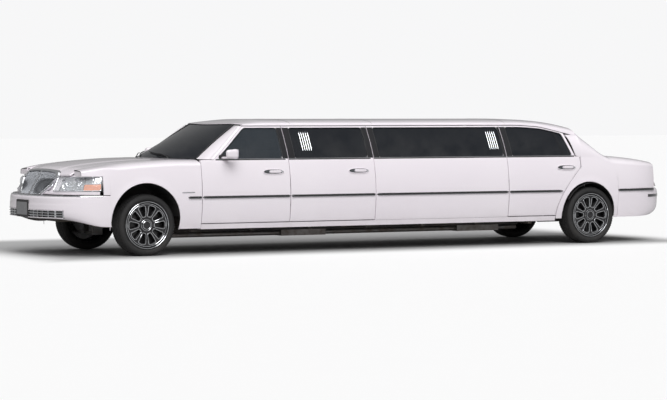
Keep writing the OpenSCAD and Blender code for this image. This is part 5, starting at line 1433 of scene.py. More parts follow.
lampParts = [lampField(0, 1, 0, 1, 0.0, lampClear, (50, 20))]
lampParts.append(lampField(0.005, 0.60, 0.02, 0.98, 0.060, lampChrome, (60, 20), ripple=0.010))
lampParts.append(lampField(0.64, 0.985, 0.52, 0.97, 0.018, lampChrome, (40, 12), ripple=0.004))
lampParts.append(lampField(0.64, 0.985, 0.05, 0.46, 0.012, lampOrange, (40, 12), ripple=0.003))
lampParts.append(lampField(0.0, 1.0, -0.06, 0.95, 0.075, glossBlack, (40, 12), thick=0.006))
lampParts.append(lampField(0.0, 1.0, 0.95, 1.03, 0.020, pearlPaint, (40, 4), thick=0.050))
loop = roundedLoop(0.03, 0.10, side=22, corner=8)
rim = lampSheet(loop[:, 0], loop[:, 1], -0.002)
lampParts.append(sweep(circle(0.0060, 10), rim, chromeTrim, closed=True, up=(0.6, 0.8, 0)))
loopSplit = np.linspace(0, 1, 12)
lampParts.append(sweep(np.array([[-0.010, -0.030], [0.010, -0.030], [0.007, 0.0], [-0.007, 0.0]]),
    lampSheet(0.62 + 0 * loopSplit, loopSplit, 0.006), lampChrome, up=(0.7, 0.7, 0)))
lampParts.append(sweep(np.array([[-0.004, -0.02], [0.004, -0.02], [0.004, 0.0], [-0.004, 0.0]]),
    lampSheet(np.linspace(0.64, 0.985, 20), np.full(20, 0.49), 0.004), lampChrome, up=(0.7, 0.7, 0)))
for s0, size in ((0.17, 0.056), (0.44, 0.060)):  # two bowls with a bulb shield in each
    mid = lampSheet(np.array(s0), np.array(0.50), 0.010)
    ring = np.linspace(0, 1, 14)
    profile = np.concatenate([np.stack([size * ring, -0.050 * (1 - ring ** 2)], -1),
        np.stack([(size + 0.003) * ring[::-1], -0.056 * (1 - ring[::-1] ** 2)], -1)])
    a = np.linspace(0, 2 * np.pi, 40, endpoint=False)
    facet = 1 + 0.05 * np.abs(np.sin(5 * a))
    r, along = profile[None, :, 0] * facet[:, None], profile[None, :, 1] + 0 * a[:, None]
    bowl = np.stack([mid[0] + along * 0.94, mid[1] + r * np.cos(a)[:, None] * 0.95 + along * 0.30,
        mid[2] + r * np.sin(a)[:, None]], -1)
    lampParts.append(skin(bowl, lampChrome, closeRows=True))
    lampParts.append(pillow(mid - [0.050, 0.016, 0.014], mid - [0.008, -0.012, -0.014], discSteel, power=0.9,
        counts=(20, 12)))
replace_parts(makePiece("headlamps", bothSides(lampParts), "chassis"), "headlamps")

# Painted brow above each lamp, behind the hood's front edge
browAngles = np.linspace(math.radians(24), math.radians(70), 40)[:, None]
browZ = np.linspace(0.886, 0.912, 5)[None, :]
brow = [nosePoint(browAngles + 0 * browZ, browZ + 0 * browAngles, noseSetback(browZ) + back) for back in (0.012, 0.024)]
makePiece("lampBrow", bothSides([shell(brow[0], brow[1], pearlPaint)]), "chassis")

# Closing strips between lamps, grille and hood
valanceAngles = np.radians(np.linspace(74, -74, 120))
rows = [[0.700, 0.120], [0.716, 0.118], [0.733, 0.128]]
strip = endSheet(nosePoint, valanceAngles, finer(rows, 6), 0.0)
stripBack = endSheet(nosePoint, valanceAngles, finer(rows, 6), 0.02)
keep = np.abs(strip[..., 1]).min(1) > 0.30
cheekAngles, cheekZ = np.radians(np.linspace(11, 27, 14))[:, None], np.linspace(0.700, 0.915, 8)[None, :]
cheek = [nosePoint(cheekAngles + 0 * cheekZ, cheekZ + 0 * cheekAngles, noseSetback(cheekZ) + back) for back in (0.034,
    0.044)]
makePiece("lampCheek", bothSides([shell(cheek[0], cheek[1], pearlPaint)]), "chassis")
makePiece("lampValance", [shell(strip[keep & (strip[:, 0, 1] > 0)], stripBack[keep & (strip[:, 0, 1] > 0)], pearlPaint),
    shell(strip[keep & (strip[:, 0, 1] < 0)], stripBack[keep & (strip[:, 0, 1] < 0)], pearlPaint)], "chassis")

# Tail: bumper, lamps and panel between them

tail = dict(shelf=0.6706)


edge = math.radians(90)
angles = np.concatenate([[edge], np.linspace(math.radians(88), -math.radians(88), 141), [-edge]])
rearRows = [0, 0.009] + finer([[0.385, 0.075], [0.400, 0.035], [0.430, 0.010], [0.480, 0.0], [0.590, 0.0], [0.640,
    0.010], [0.660, 0.030], [0.667, 0.060], [tail["shelf"], 0.103]], 50)
sheets = []
for thickness in (0.0, 0.034):
    points = endSheet(tailPoint, angles, rearRows, thickness)
    points[0, :, 0] = points[-1, :, 0] = bumperRearX - 0.002
    share = np.clip((0.52 - points[..., 2]) / 0.14, 0, 1)
    points[..., 2] -= share * 0.070 * smoothStep(0.6, 1.0, np.abs(points[..., 1]) / halfWidth)
    sheets.append(points)
rearParts = [shell(sheets[0], sheets[1], pearlPaint)]
padAngles = np.radians(np.linspace(66, -66, 100))
pad = tailPoint(np.abs(padAngles), np.full(100, 0.575), np.full(100, 0.009))
pad[:, 1] *= np.sign(padAngles)
t = np.linspace(-1, 1, 9)
rearParts.append(sweep(np.concatenate([np.stack([0.010 * (1 - t ** 4), t * 0.016], -1), [[-0.004, 0.016],
    [-0.004, -0.016]]]) * [-1, 1], pad, glossBlack))
qx = car["tailTip"] + 0.009
rearParts.append(pillow((qx - 0.003, -0.162, 0.458), (qx + 0.012, 0.162, 0.612), blackPlastic, power=0.1, counts=(64,
    12)))
rearParts.append(pillow((qx - 0.0045, -0.148, 0.468), (qx + 0.004, 0.148, 0.602), plateBlank, power=0.08, counts=(64,
    8)))
for side in (1, -1):
    rearParts.append(lathe([[0, -0.0065], [0.005, -0.006], [0.006, -0.003], [0, -0.003]], bareSteel, centre=(qx,
        side * 0.089, 0.535), axis="x", count=16))
    rearParts.append(pillow((qx + 0.04, min(side * 0.39, side * 0.44), 0.485), (rearX - 1.151,
        max(side * 0.39, side * 0.44), 0.525), underbodyBlack, power=0.1, counts=(24, 8)))
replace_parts(makePiece("rearBumper", rearParts, "chassis"), "rear_bumper")


def tailLampSheet(s, t, inward):
    # Tail lamp field: s from the lid round to the side, t up; it leans forward with height.
    angle = lerp(math.radians(34.5), math.radians(63), s)
    z = lerp(0.690, lerp(0.968, 0.974, s), t)
    p = tailPoint(angle, z, 0.052 + 0.42 * (z - 0.700) + 0.10 * np.clip(z - 0.88, 0, None) + inward)
    p[..., 1] -= inward * np.abs(np.sin(angle))
    return p


def tailField(s0, s1, t0, t1, inward, material, thick=0.006, counts=(26, 22)):
    s, t = fieldGrid(s0, s1, t0, t1, counts)
    return shell(tailLampSheet(s, t, inward), tailLampSheet(s, t, inward + thick), material)


tailParts = [tailField(0.02, 0.98, 0.03, 0.97, 0.0, lampRed), tailField(0.0, 1.0, 0.0, 1.0, 0.030, glossBlack, 0.010),
    tailField(0.04, 0.96, 0.36, 0.60, -0.0012, lampClear, 0.003), tailField(0.05, 0.95, 0.37, 0.59, 0.012, lampChrome,
    0.003)]
loop = roundedLoop(0.08, 0.06, side=20, corner=8)
tailParts.append(sweep(circle(0.005, 10), tailLampSheet(loop[:, 0], loop[:, 1], -0.001), chromeTrim, closed=True,
    up=(-0.7, 0.7, 0)))
for t0 in (0.345, 0.615):
    line = np.linspace(0.03, 0.97, 20)
    tailParts.append(sweep(circle(0.003, 8), tailLampSheet(line, np.full(20, t0), -0.001), chromeTrim, up=(0, 0, 1)))
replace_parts(makePiece("tailLamps", bothSides(tailParts), "chassis"), "tail_lamps")
v, t = np.linspace(0.652, -0.652, 60)[:, None], np.linspace(0, 1, 6)[None, :]
ledge = []
for depth in (0, 0.01):
    z = lerp(0.672, 0.7255, t) - 0 * v
    x = lid["rear"] - 0.060 * (1 - (v / lid["edgeY"]) ** 2) - 0.018 - 0.016 * (1 - t) + depth
    ledge.append(np.stack([x + 0 * t, v + 0 * t, z], -1))
makePiece("lidSill", [shell(ledge[0], ledge[1], pearlPaint)], "chassis")
print("nose and tail built")


# Wheels

wheel = dict(radius=0.349, width=0.245, flange=0.2715, windows=10, face=0.104, treadBlocks=72,
    grooveDepth=0.007, discRadius=0.165)


def tyrePart(centre, outside):
    # Tyre: a section carried round; ring grooves run round it, and slanted cuts cross the tread between them.
    r0, half = wheel["flange"], wheel["width"] / 2
    t = np.linspace(-1, 1, 49)
    treadW = t * (half - 0.020)
    treadR = wheel["radius"] - 0.0065 * np.abs(t) ** 3.2
    groove = np.zeros_like(t)
    for g in (-0.56, -0.19, 0.19, 0.56):
        groove = np.maximum(groove, np.clip(1.6 - np.abs(t - g) / 0.035, 0, 1))
    a = np.linspace(0, 1, 13)
    wallR = lerp(r0 + 0.002, wheel["radius"] - 0.010, a)
    bulge = 0.022 * np.sin(np.pi * np.clip(a * 0.94 + 0.06, 0, 1)) ** 0.8
    wallW = half - 0.022 + bulge
    left = np.stack([wallR, -wallW], -1)
    right = np.stack([wallR, wallW], -1)[::-1]
    inner = np.array([[r0 - 0.010, half - 0.020], [r0 - 0.016, 0.06], [r0 - 0.016, -0.06], [r0 - 0.010, -half + 0.020]])
    profile = np.concatenate([left, np.stack([treadR, treadW], -1), right, inner])
    count = 288
    angle = np.linspace(0, 2 * np.pi, count, endpoint=False)[:, None]
    r = np.repeat(profile[None, :, 0], count, 0)
    w = np.repeat(profile[None, :, 1], count, 0)
    onTread = np.zeros(len(profile))
    onTread[len(left):len(left) + len(t)] = 1
    ringGroove = np.zeros(len(profile))
    ringGroove[len(left):len(left) + len(t)] = groove
    slant = np.zeros(len(profile))
    slant[len(left):len(left) + len(t)] = t
    phase = (angle * wheel["treadBlocks"] / (2 * np.pi) + 0.9 * slant[None] ** 2 * np.sign(slant)[None]) % 1.0
    cut = (phase < 0.26) * (np.abs(slant[None]) > 0.22) * onTread[None]
    r = r - wheel["grooveDepth"] * np.maximum(ringGroove[None], 0.7 * cut)
    rings = np.isin(np.round(profile[:, 0], 4), np.round(wallR[[3, 9]], 4)) & (onTread == 0)
    w = w + np.sign(w) * 0.0016 * rings[None]
    points = np.stack([r * np.cos(angle), w, r * np.sin(angle)], -1) + centre
    return skin(points, tyreRubber, closeRows=True, closeColumns=True)


def polar(points, centre, out):
    # (radius, angle, along) to the wheel's place; out is +1 on the left side and -1 on the right.
    r, a, w = points[..., 0], points[..., 1], points[..., 2]
    return np.stack([r * np.sin(a), out * w, r * np.cos(a)], -1) + centre


def rimParts(centre, out):
    # Rim: barrel and lip, a face with ten windows, bright lines round them, the cap, and a black disc behind the
    # windows as painted shade.
    parts = []
    half, flange = wheel["width"] / 2, wheel["flange"]
    face = wheel["face"]
    barrel = np.array([[flange - 0.002, -half + 0.004], [flange, -half + 0.002], [flange - 0.020, -half + 0.014],
        [flange - 0.036, -0.060], [flange - 0.034, 0.040], [flange - 0.022, half - 0.030], [flange - 0.014,
        half - 0.012], [flange - 0.004, half - 0.004], [flange + 0.0005, half - 0.005], [flange + 0.0005, half - 0.010],
        [flange - 0.010, half - 0.016], [flange - 0.014, 0.05], [flange - 0.017, -0.06], [flange - 0.014,
        -half + 0.020], [flange + 0.0005, -half + 0.010]])
    barrel = barrel * [1, out]
    parts.append(lathe(np.concatenate([barrel, barrel[:1]]), wheelBlack, centre=centre, count=120))

    def brightRing(radius, along, size, count):
        a = np.linspace(0, 2 * np.pi, count, endpoint=False)
        ring = np.stack([radius * np.sin(a), 0 * a + out * along, radius * np.cos(a)], -1) + centre
        parts.append(sweep(circle(size, 8), ring, chromeTrim, closed=True, up=(0, 1, 0)))
    brightRing(flange - 0.0085, half - 0.0065, 0.0042, 140)
    brightRing(flange - 0.031, face + 0.0035, 0.0040, 140)
    step = 2 * np.pi / wheel["windows"]
    rin, rout, hub = 0.100, flange - 0.052, 0.062

    def dish(r):
        return face - 0.016 * (1 - smoothStep(0.05, 0.22, r)) + 0.004 * np.sin(np.pi * np.clip((r - 0.06) / 0.18, 0, 1))
    outerLoop = roundedLoop(0.004, 0.004, side=10, corner=5)
    innerLoop = roundedLoop(0.30, 0.14, side=10, corner=5)

    def sector(loop, r0, r1, w0, w1, grow=0.0):
        r = lerp(r0 - grow, r1 + grow, loop[:, 1])
        wide = lerp(w0, w1, loop[:, 1]) + grow
        a = np.arcsin(np.clip((loop[:, 0] * 2 - 1) * wide / r, -0.999, 0.999)) if w0 else (loop[:, 0] - 0.5) * step
        return r, a
    for k in range(wheel["windows"]):
        turn = k * step + step / 2
        loops = []
        ro, ao = sector(outerLoop, hub, flange - 0.026, 0, 0)
        ri, ai = sector(innerLoop, rin, rout, 0.017, 0.044)
        ri2, ai2 = sector(innerLoop, rin, rout, 0.017, 0.044, grow=0.005)
        for r, a, lift in ((ro, ao, -0.030), (ro, ao, 0.0), (ri2, ai2, 0.0), (ri, ai, -0.006), (ri, ai, -0.036)):
            loops.append(polar(np.stack([r, a + turn, dish(r) + lift], -1), centre, out))
        parts.append(skin(np.array(loops), wheelBlack, closeRows=True, closeColumns=True))
        line = polar(np.stack([ri2, ai2 + turn, dish(ri2) + 0.0015], -1), centre, out)
        parts.append(sweep(circle(0.0044, 8, 0.8), line, chromeTrim, closed=True, up=(0, 1, 0)))
    cap = np.array([[0, face + 0.006], [0.030, face + 0.005], [0.044, face - 0.001], [0.047, face - 0.010], [0.064,
        face - 0.014], [0.068, face - 0.022], [0.068, face - 0.050], [0, face - 0.050]]) * [1, out]
    parts.append(lathe(cap, wheelBlack, centre=centre, count=64))
    brightRing(0.0455, face - 0.004, 0.0042, 80)
    brightRing(0.064, face - 0.012, 0.0030, 80)
    parts.append(pillow(np.array(centre) + [-0.005, out * face - 0.012, 0.205], np.array(centre) + [0.005,
        out * face + 0.012, 0.219], blackPlastic, power=0.6, counts=(12, 8)))
    # Black disc behind the windows: painted shade inside the wheel
    paintedShade = np.array([[0.070, 0.030], [flange - 0.024, 0.030], [flange - 0.024, 0.026], [0.070, 0.026]]) * [1, out]
    parts.append(lathe(np.concatenate([paintedShade, paintedShade[:1]]), wheelBlack, centre=centre, count=72))
    # brake disc and drum face turn with the wheel
    disc = np.array([[0, 0.040], [0.070, 0.040], [0.075, 0.012], [wheel["discRadius"], 0.012], [wheel["discRadius"],
        -0.014], [0.070, -0.014], [0.062, 0.0], [0, 0.0]]) * [1, out]
    parts.append(lathe(disc, discSteel, centre=centre, count=72))
    return parts


wheelPlaces = {"front_left": (0.0, 0.805), "front_right": (0.0, -0.805), "rear_left": (rearX, 0.833),
    "rear_right": (rearX, -0.833)}
for name, (x, y) in wheelPlaces.items():
    centre = np.array([x, y, wheel["radius"]])
    out = 1 if y > 0 else -1
    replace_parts(makePiece(f"tyre_{name}", [tyrePart(centre, out)], f"wheel_{name}", angle=40),
        f"tyre_{name}")
    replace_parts(makePiece(f"rim_{name}", rimParts(centre, out), f"wheel_{name}"), f"rim_{name}")
print("wheels built")


# Cabin: seats are swelled by a short cloth simulation, with their seams held down

cushionShape = dict(pressure=5.0, cap=0.018, frames=12, seamDepth=0.010)


def channelled(low, high, across, count, depth, power=0.30, counts=(120, 60), crown=0.10):
    # A cushion: a rounded block with a crowned top and sewn channels running along one of its sides.
    low, high = np.asarray(low, float), np.asarray(high, float)
    verts, faces, material = pillow(low, high, blackLeather, power=power, counts=counts)
    unit = (verts - (low + high) / 2) / ((high - low) / 2)
    middle = (1 - unit[:, 0] ** 2) * (1 - unit[:, 1] ** 2)
    verts = verts.copy()
    lift = crown * (high[2] - low[2]) * np.clip(middle, 0, 1)
    verts[:, 2] += np.where(unit[:, 2] > 0.3, lift * 0.6, 0)
    wave = np.abs(np.sin(np.pi * count * (unit[:, across] + 1) / 2)) ** 0.6
    normal = unit / np.maximum(np.linalg.norm(unit, axis=1, keepdims=True), 1e-9)
    verts -= normal * (depth * (1 - wave))[:, None]
    return verts, faces, material


def swell(piece, seams):
    # Blows the cushion up a little under the cloth solver, holding the seam points, and keeps what it gains.
    rest = np.empty(len(piece.data.vertices) * 3)
    piece.data.vertices.foreach_get("co", rest)
    rest = rest.reshape(-1, 3)
    held = piece.vertex_groups.new(name="seams")
    held.add([int(k) for k in np.nonzero(seams(rest))[0]], 1.0, "REPLACE")
    cloth = piece.modifiers.new("swelling", "CLOTH")
    cloth.settings.use_pressure = True
    cloth.settings.uniform_pressure_force = cushionShape["pressure"]
    cloth.settings.vertex_group_mass = "seams"
    cloth.settings.effector_weights.gravity = 0
    cloth.settings.quality = 5
    cloth.settings.mass = 0.4
    scene = bpy.context.scene
    for step in range(1, cushionShape["frames"] + 1):
        scene.frame_set(step)
    shown = piece.evaluated_get(bpy.context.evaluated_depsgraph_get())
    after = np.empty(len(rest) * 3)
    shown.data.vertices.foreach_get("co", after)
    push = after.reshape(-1, 3) - rest
    far = np.maximum(np.linalg.norm(push, axis=1, keepdims=True), 1e-9)
    push *= np.minimum(1, cushionShape["cap"] / far)
    piece.modifiers.remove(cloth)
    piece.vertex_groups.remove(held)
    piece.data.vertices.foreach_set("co", (rest + push).ravel())
    piece.data.update()
    scene.frame_set(1)


def cushion(name, low, high, body, across, count, replaces=(), leanAt=None, lean=0.0, depth=None, counts=(120,
        60), power=0.30):
    # One padded piece; a back leans over by a slope of x to height.
    depth = cushionShape["seamDepth"] if depth is None else depth
    verts, faces, material = channelled(low, high, across, count, depth, counts=counts, power=power)
    if leanAt is not None:
        verts[:, 0] -= lean * (verts[:, 2] - leanAt)
    low, high = np.asarray(low, float), np.asarray(high, float)
    piece = makePiece(name, [(verts, faces, material)], body, angle=75)
    middle, half = (low + high) / 2 + [car["axleX"], 0, 0], (high - low) / 2

    def seams(points):
        unit = (points - middle) / half
        wave = np.abs(np.sin(np.pi * count * (unit[:, across] + 1) / 2))
        return (wave < 0.16) | (points[:, 2] < low[2] + 0.02)
    swell(piece, seams)
    smoothing = piece.modifiers.new("smoothing", "SUBSURF")
    smoothing.levels = smoothing.render_levels = 1
    for nodeName in replaces:
        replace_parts(piece, nodeName)
    return piece


def piping(points, radius=0.005, closed=True, up=(0, 0, 1)):
    return sweep(circle(radius, 8), np.asarray(points, float), stitchThread, closed=closed, up=up)


def blockEdge(low, high, z, corner=0.05, count=6):
    # Rounded rectangle at a height, for piping round a cushion.
    loop = roundedLoop(corner / (high[0] - low[0]), corner / (high[1] - low[1]), side=14, corner=count)
    return np.stack([low[0] + loop[:, 0] * (high[0] - low[0]), low[1] + loop[:, 1] * (high[1] - low[1]),
        np.full(len(loop), z)], -1)


seatBack = doorLeads["middle"] - 0.030
seat = dict(inner=0.135, outer=0.635, lean=0.15, leanAt=0.64)
for side, sign in (("left", 1), ("right", -1)):
    y1, y2 = sorted((sign * seat["inner"], sign * seat["outer"]))
    cushion(f"frontCushion_{side}", (seatBack + 0.155, y1, 0.512), (seatBack + 0.672, y2, 0.628), "chassis", 1, 5,
        replaces=("front_seats",))
    cushion(f"frontBackrest_{side}", (seatBack + 0.030, y1 + 0.01, 0.650), (seatBack + 0.165, y2 - 0.01, 1.150),
        "chassis", 1, 5, leanAt=seat["leanAt"], lean=seat["lean"])
    cushion(f"headrest_{side}", (seatBack - 0.050, (y1 + y2) / 2 - 0.13, 1.165), (seatBack + 0.050,
        (y1 + y2) / 2 + 0.13, 1.300), "chassis", 1, 1, depth=0.002, counts=(70, 36), power=0.45)
frames = []
for sign in (1, -1):
    y1, y2 = sorted((sign * seat["inner"], sign * seat["outer"]))
    frames.append(pillow((seatBack + 0.195, y1 + 0.02, 0.340), (seatBack + 0.610, y2 - 0.02, 0.512), cabinPlastic,
        power=0.15, counts=(40, 14)))
    shellBack = pillow((seatBack + 0.012, y1 + 0.02, 0.640), (seatBack + 0.050, y2 - 0.02, 1.145), cabinPlastic,
        power=0.2, counts=(40, 14))
    shellBack[0][:, 0] -= seat["lean"] * (shellBack[0][:, 2] - seat["leanAt"])
    frames.append(shellBack)
    for post in (-0.06, 0.06):
        z = np.linspace(1.13, 1.20, 4)
        frames.append(sweep(circle(0.006, 8), np.stack([seatBack + 0.092 - seat["lean"] * (z - seat["leanAt"]),
            (y1 + y2) / 2 + post + 0 * z, z], -1), chromeTrim, up=(1, 0, 0)))
    frames.append(piping(blockEdge((seatBack + 0.160, y1 + 0.004), (seatBack + 0.668, y2 - 0.004), 0.585)))
frames.append(pillow((seatBack + 0.10, -0.125, 0.340), (seatBack + 0.640, 0.125, 0.645), cabinPlastic, power=0.12,
    counts=(48, 20)))
frames.append(pillow((seatBack + 0.13, -0.110, 0.640), (seatBack + 0.420, 0.110, 0.690), blackLeather, power=0.35,
    counts=(40, 16)))
makePiece("frontSeatFrames", frames, "chassis")

cushion("rearCushion", (rearX + 0.200, -0.612, 0.640), (rearX + 0.685, 0.612, 0.762), "chassis", 1, 12,
    replaces=("lounge_seat",), counts=(180, 60))
cushion("rearBackrest", (rearX + 0.070, -0.612, 0.755), (rearX + 0.215, 0.612, 1.170), "chassis", 1, 12,
    counts=(180, 60))
benchRear, benchFront = doorLeads["rear"] + 0.125, doorLeads["panel"] - 0.065
cushion("sideCushion", (benchRear, -0.785, 0.520), (benchFront, -0.305, 0.634), "chassis", 0, 16, counts=(260, 50),
    power=0.22)
cushion("sideBackrest", (benchRear, -0.785, 0.640), (benchFront, -0.668, 1.052), "chassis", 0, 16, counts=(260,
    50), power=0.22)
boxes = [pillow((rearX + 0.195, -0.616, 0.544), (rearX + 0.688, 0.616, 0.645), cabinPlastic, power=0.08, counts=(60,
    10)), pillow((rearX + 0.064, -0.616, 0.544), (rearX + 0.190, 0.616, 0.760), cabinPlastic, power=0.08, counts=(60,
    10)), pillow((benchRear + 0.004, -0.788, 0.339), (benchFront - 0.004, -0.325, 0.522), cabinPlastic, power=0.06,
    counts=(60, 12)), piping(blockEdge((rearX + 0.200, -0.606), (rearX + 0.684, 0.606), 0.720)),
    piping(blockEdge((benchRear + 0.004, -0.780), (benchFront - 0.004, -0.309), 0.592))]
for k in range(4):
    x = lerp(benchRear + 0.3, benchFront - 0.3, k / 3)
    boxes.append(pillow((x - 0.10, -0.327, 0.40), (x + 0.10, -0.318, 0.47), glossBlack, power=0.2, counts=(20, 8)))
makePiece("loungeSeatBase", boxes, "chassis")

# Bar console: a wood-faced cabinet with a bright rail, a well for ice and a row of glasses
bar = dict(y1=0.480, y2=0.780, top=0.890, glassCount=8)
barParts = [pillow((benchRear + 0.001, bar["y1"], 0.339), (benchFront - 0.001, bar["y2"], 0.861), lacqueredWood,
    power=0.04, counts=(60, 14)), pillow((benchRear - 0.018, bar["y1"] - 0.018, 0.861), (benchFront + 0.018,
    bar["y2"] + 0.008, bar["top"]), glossBlack, power=0.06, counts=(60, 12))]
for k in range(5):
    x = lerp(benchRear + 0.17, benchFront - 0.17, k / 4)
    barParts.append(pillow((x - 0.145, bar["y1"] - 0.006, 0.42), (x + 0.145, bar["y1"] + 0.004, 0.82), lacqueredWood,
        power=0.08, counts=(32, 8)))
    barParts.append(sweep(circle(0.006, 8), np.stack([np.linspace(x - 0.05, x + 0.05, 8), np.full(8, bar["y1"] - 0.016),
        np.full(8, 0.77)], -1), chromeTrim))
rail = np.stack([np.linspace(benchRear + 0.01, benchFront - 0.01, 30), np.full(30, bar["y1"] - 0.004), np.full(30,
    0.925)], -1)
barParts.append(sweep(circle(0.007, 10), rail, chromeTrim))
for k in range(9):
    x = lerp(benchRear + 0.02, benchFront - 0.02, k / 8)
    barParts.append(lathe([[0, 0.925], [0.005, 0.925], [0.005, 0.889], [0.010, 0.886], [0, 0.886]], chromeTrim,
        centre=(x, bar["y1"] - 0.004, 0), axis="z", count=12))
for k in range(bar["glassCount"]):
    x = lerp(-4.45, -3.75, k / (bar["glassCount"] - 1))
    cup = np.array([[0, 0.8905], [0.026, 0.8905], [0.027, 0.893], [0.005, 0.897], [0.005, 0.955], [0.022, 0.972],
        [0.033, 1.010], [0.032, 1.060], [0.0305, 1.060], [0.031, 1.010], [0.020, 0.976], [0.0, 0.962]])
    barParts.append(lathe(cup, lampClear, centre=(x, 0.66, 0), axis="z", count=28))
well = np.array([[0, 0.905], [0.075, 0.905], [0.080, 0.910], [0.092, 1.010], [0.096, 1.012], [0.096, 1.006], [0.084,
    0.905], [0.078, 0.8905], [0, 0.8905]])
barParts.append(lathe(well, discSteel, centre=(-3.35, 0.64, 0), axis="z", count=40))
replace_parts(makePiece("barConsole", barParts, "chassis"), "bar_console")

# Partition with a padded front and a dark glass above it
divider = [pillow((-1.9445, -0.700, 0.339), (-1.9275, 0.700, 1.014), cabinPlastic, power=0.05, counts=(48, 14)),
    pillow((-1.9415, -0.640, 1.010), (-1.9355, 0.640, 1.360), tintedGlass, power=0.05, counts=(48, 12))]
for z in (0.45, 0.60, 0.75, 0.90):
    divider.append(pillow((-1.9520, -0.680, z), (-1.9420, 0.680, z + 0.135), blackLeather, power=0.25, counts=(60, 12)))
divider.append(sweep(circle(0.006, 8), [(-1.936, -0.68, 1.018), (-1.936, 0.0, 1.018), (-1.936, 0.68, 1.018)],
    chromeTrim))
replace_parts(makePiece("cabinDivider", divider, "chassis"), "partition")

# Dashboard: a soft top carried across the car, an instrument hood, vents, a wood strip and the column
dashY = np.linspace(0.795, -0.795, 50)
profile = np.array([[-0.586, 0.702], [-0.860, 0.702], [-0.900, 0.735], [-0.921, 0.800], [-0.915, 0.870], [-0.900,
    0.915], [-0.870, 0.945], [-0.800, 0.962], [-0.720, 0.982], [-0.640, 0.988], [-0.586, 0.986]])
dashSheet = np.stack([np.broadcast_to(profile[None, :, 0], (50, 11)), np.broadcast_to(dashY[:, None], (50, 11)),
    profile[None, :, 1] - 0.012 * (np.abs(dashY[:, None]) / 0.8) ** 4], -1)
ends = [np.repeat(dashSheet[k:k + 1].mean(1, keepdims=True), 11, 1) for k in (0, -1)]
dash = [skin(np.concatenate([ends[0], dashSheet, ends[1]]), cabinPlastic, closeColumns=True),
    pillow((-0.925, 0.200, 0.905), (-0.760, 0.560, 1.030), cabinPlastic, power=0.55, counts=(48, 20)),
    pillow((-0.929, 0.225, 0.925), (-0.905, 0.535, 1.000), glossBlack, power=0.3, counts=(40, 12)),
    pillow((-0.9255, -0.76, 0.825), (-0.915, 0.76, 0.862), lacqueredWood, power=0.1, counts=(60, 8)),
    pillow((-0.9310, -0.15, 0.720), (-0.900, 0.15, 0.905), glossBlack, power=0.12, counts=(40, 12))]
for y in (-0.70, -0.08, 0.08, 0.70):
    for k in range(5):
        dash.append(pillow((-0.9200, y - 0.055, 0.874 + 0.009 * k), (-0.900, y + 0.055, 0.878 + 0.009 * k), glossBlack,
            power=0.3, counts=(16, 6)))
for y in (0.30, 0.46):
    a = np.linspace(0, 2 * np.pi, 40, endpoint=False)
    dash.append(sweep(circle(0.003, 8), np.stack([-0.930 + 0 * a, y + 0.032 * np.cos(a), 0.962 + 0.032 * np.sin(a)],
        -1), chromeTrim, closed=True, up=(1, 0, 0)))
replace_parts(makePiece("dashPanel", dash, "chassis"), "dashboard")

steering = dict(centre=(-1.020, 0.380, 0.900), tilt=math.radians(-65), radius=0.185, rim=0.0145)


def onWheel(points):
    # From the steering wheel's own plane to its tilted place.
    c, s = math.cos(steering["tilt"]), math.sin(steering["tilt"])
    x, y, z = points[..., 0], points[..., 1], points[..., 2]
    return np.stack([x * c + z * s, y, -x * s + z * c], -1) + steering["centre"]


a = np.linspace(0, 2 * np.pi, 96, endpoint=False)
grip = 1 + 0.10 * np.cos(4 * a) ** 8
ring = np.stack([steering["radius"] * np.cos(a), steering["radius"] * np.sin(a), 0 * a], -1)
wheelParts = []
verts, faces, material = sweep(circle(steering["rim"], 14), ring, blackLeather, closed=True)
wheelParts.append((onWheel(verts), faces, material))
for angle in (90, 210, 330):
    t = np.linspace(0.03, steering["radius"] - 0.004, 12)
    w = lerp(0.030, 0.016, (t - 0.03) / 0.15)
    c, s = math.cos(math.radians(angle)), math.sin(math.radians(angle))
    path = np.stack([t * c, t * s, -0.010 * np.cos(t / 0.185 * np.pi / 2)], -1)
    verts, faces, material = sweep(np.array([[-1, -0.25], [1, -0.25], [0.8, 0.25], [-0.8, 0.25]]) * 0.018, path,
        cabinPlastic, taper=w / 0.022)
    wheelParts.append((onWheel(verts), faces, material))
verts, faces, material = pillow((-0.062, -0.075, -0.020), (0.055, 0.075, 0.016), cabinPlastic, power=0.6, counts=(40,
    16))
wheelParts.append((onWheel(verts), faces, material))
column = np.stack([np.linspace(-1.040, -0.905, 8), np.full(8, 0.380), np.linspace(0.893, 0.852, 8)], -1)
wheelParts.append(sweep(circle(0.030, 18), column, cabinPlastic))
for sign in (1, -1):
    stalk = np.stack([np.linspace(-0.985, -1.000, 8), 0.380 + sign * np.linspace(0.03, 0.150, 8), np.linspace(0.880,
        0.892, 8)], -1)
    wheelParts.append(sweep(circle(0.0065, 8), stalk, cabinPlastic))
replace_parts(makePiece("steeringWheel", wheelParts, "chassis"), "steering_wheel")

# Carpet over the floor, and pedals
rug = [shell(*[np.stack(np.broadcast_arrays(lerp(rearX + 0.72, -0.585, np.linspace(0, 1, 60))[:, None],
    np.linspace(0.795, -0.795, 20)[None, :], np.array(z)), -1) for z in (0.345, 0.3385)], cabinCarpet)]
for y in (0.30, 0.42, 0.52):
    rug.append(pillow((-0.660, y - 0.028, 0.43), (-0.640, y + 0.028, 0.50), sealRubber, power=0.25, counts=(20, 10)))
    rug.append(sweep(circle(0.006, 8), [(-0.650, y, 0.47), (-0.615, y, 0.56), (-0.600, y, 0.68)], bareSteel))
makePiece("cabinCarpet", rug, "chassis")
print("cabin built")

# Finishes of the pieces that keep their frame shape

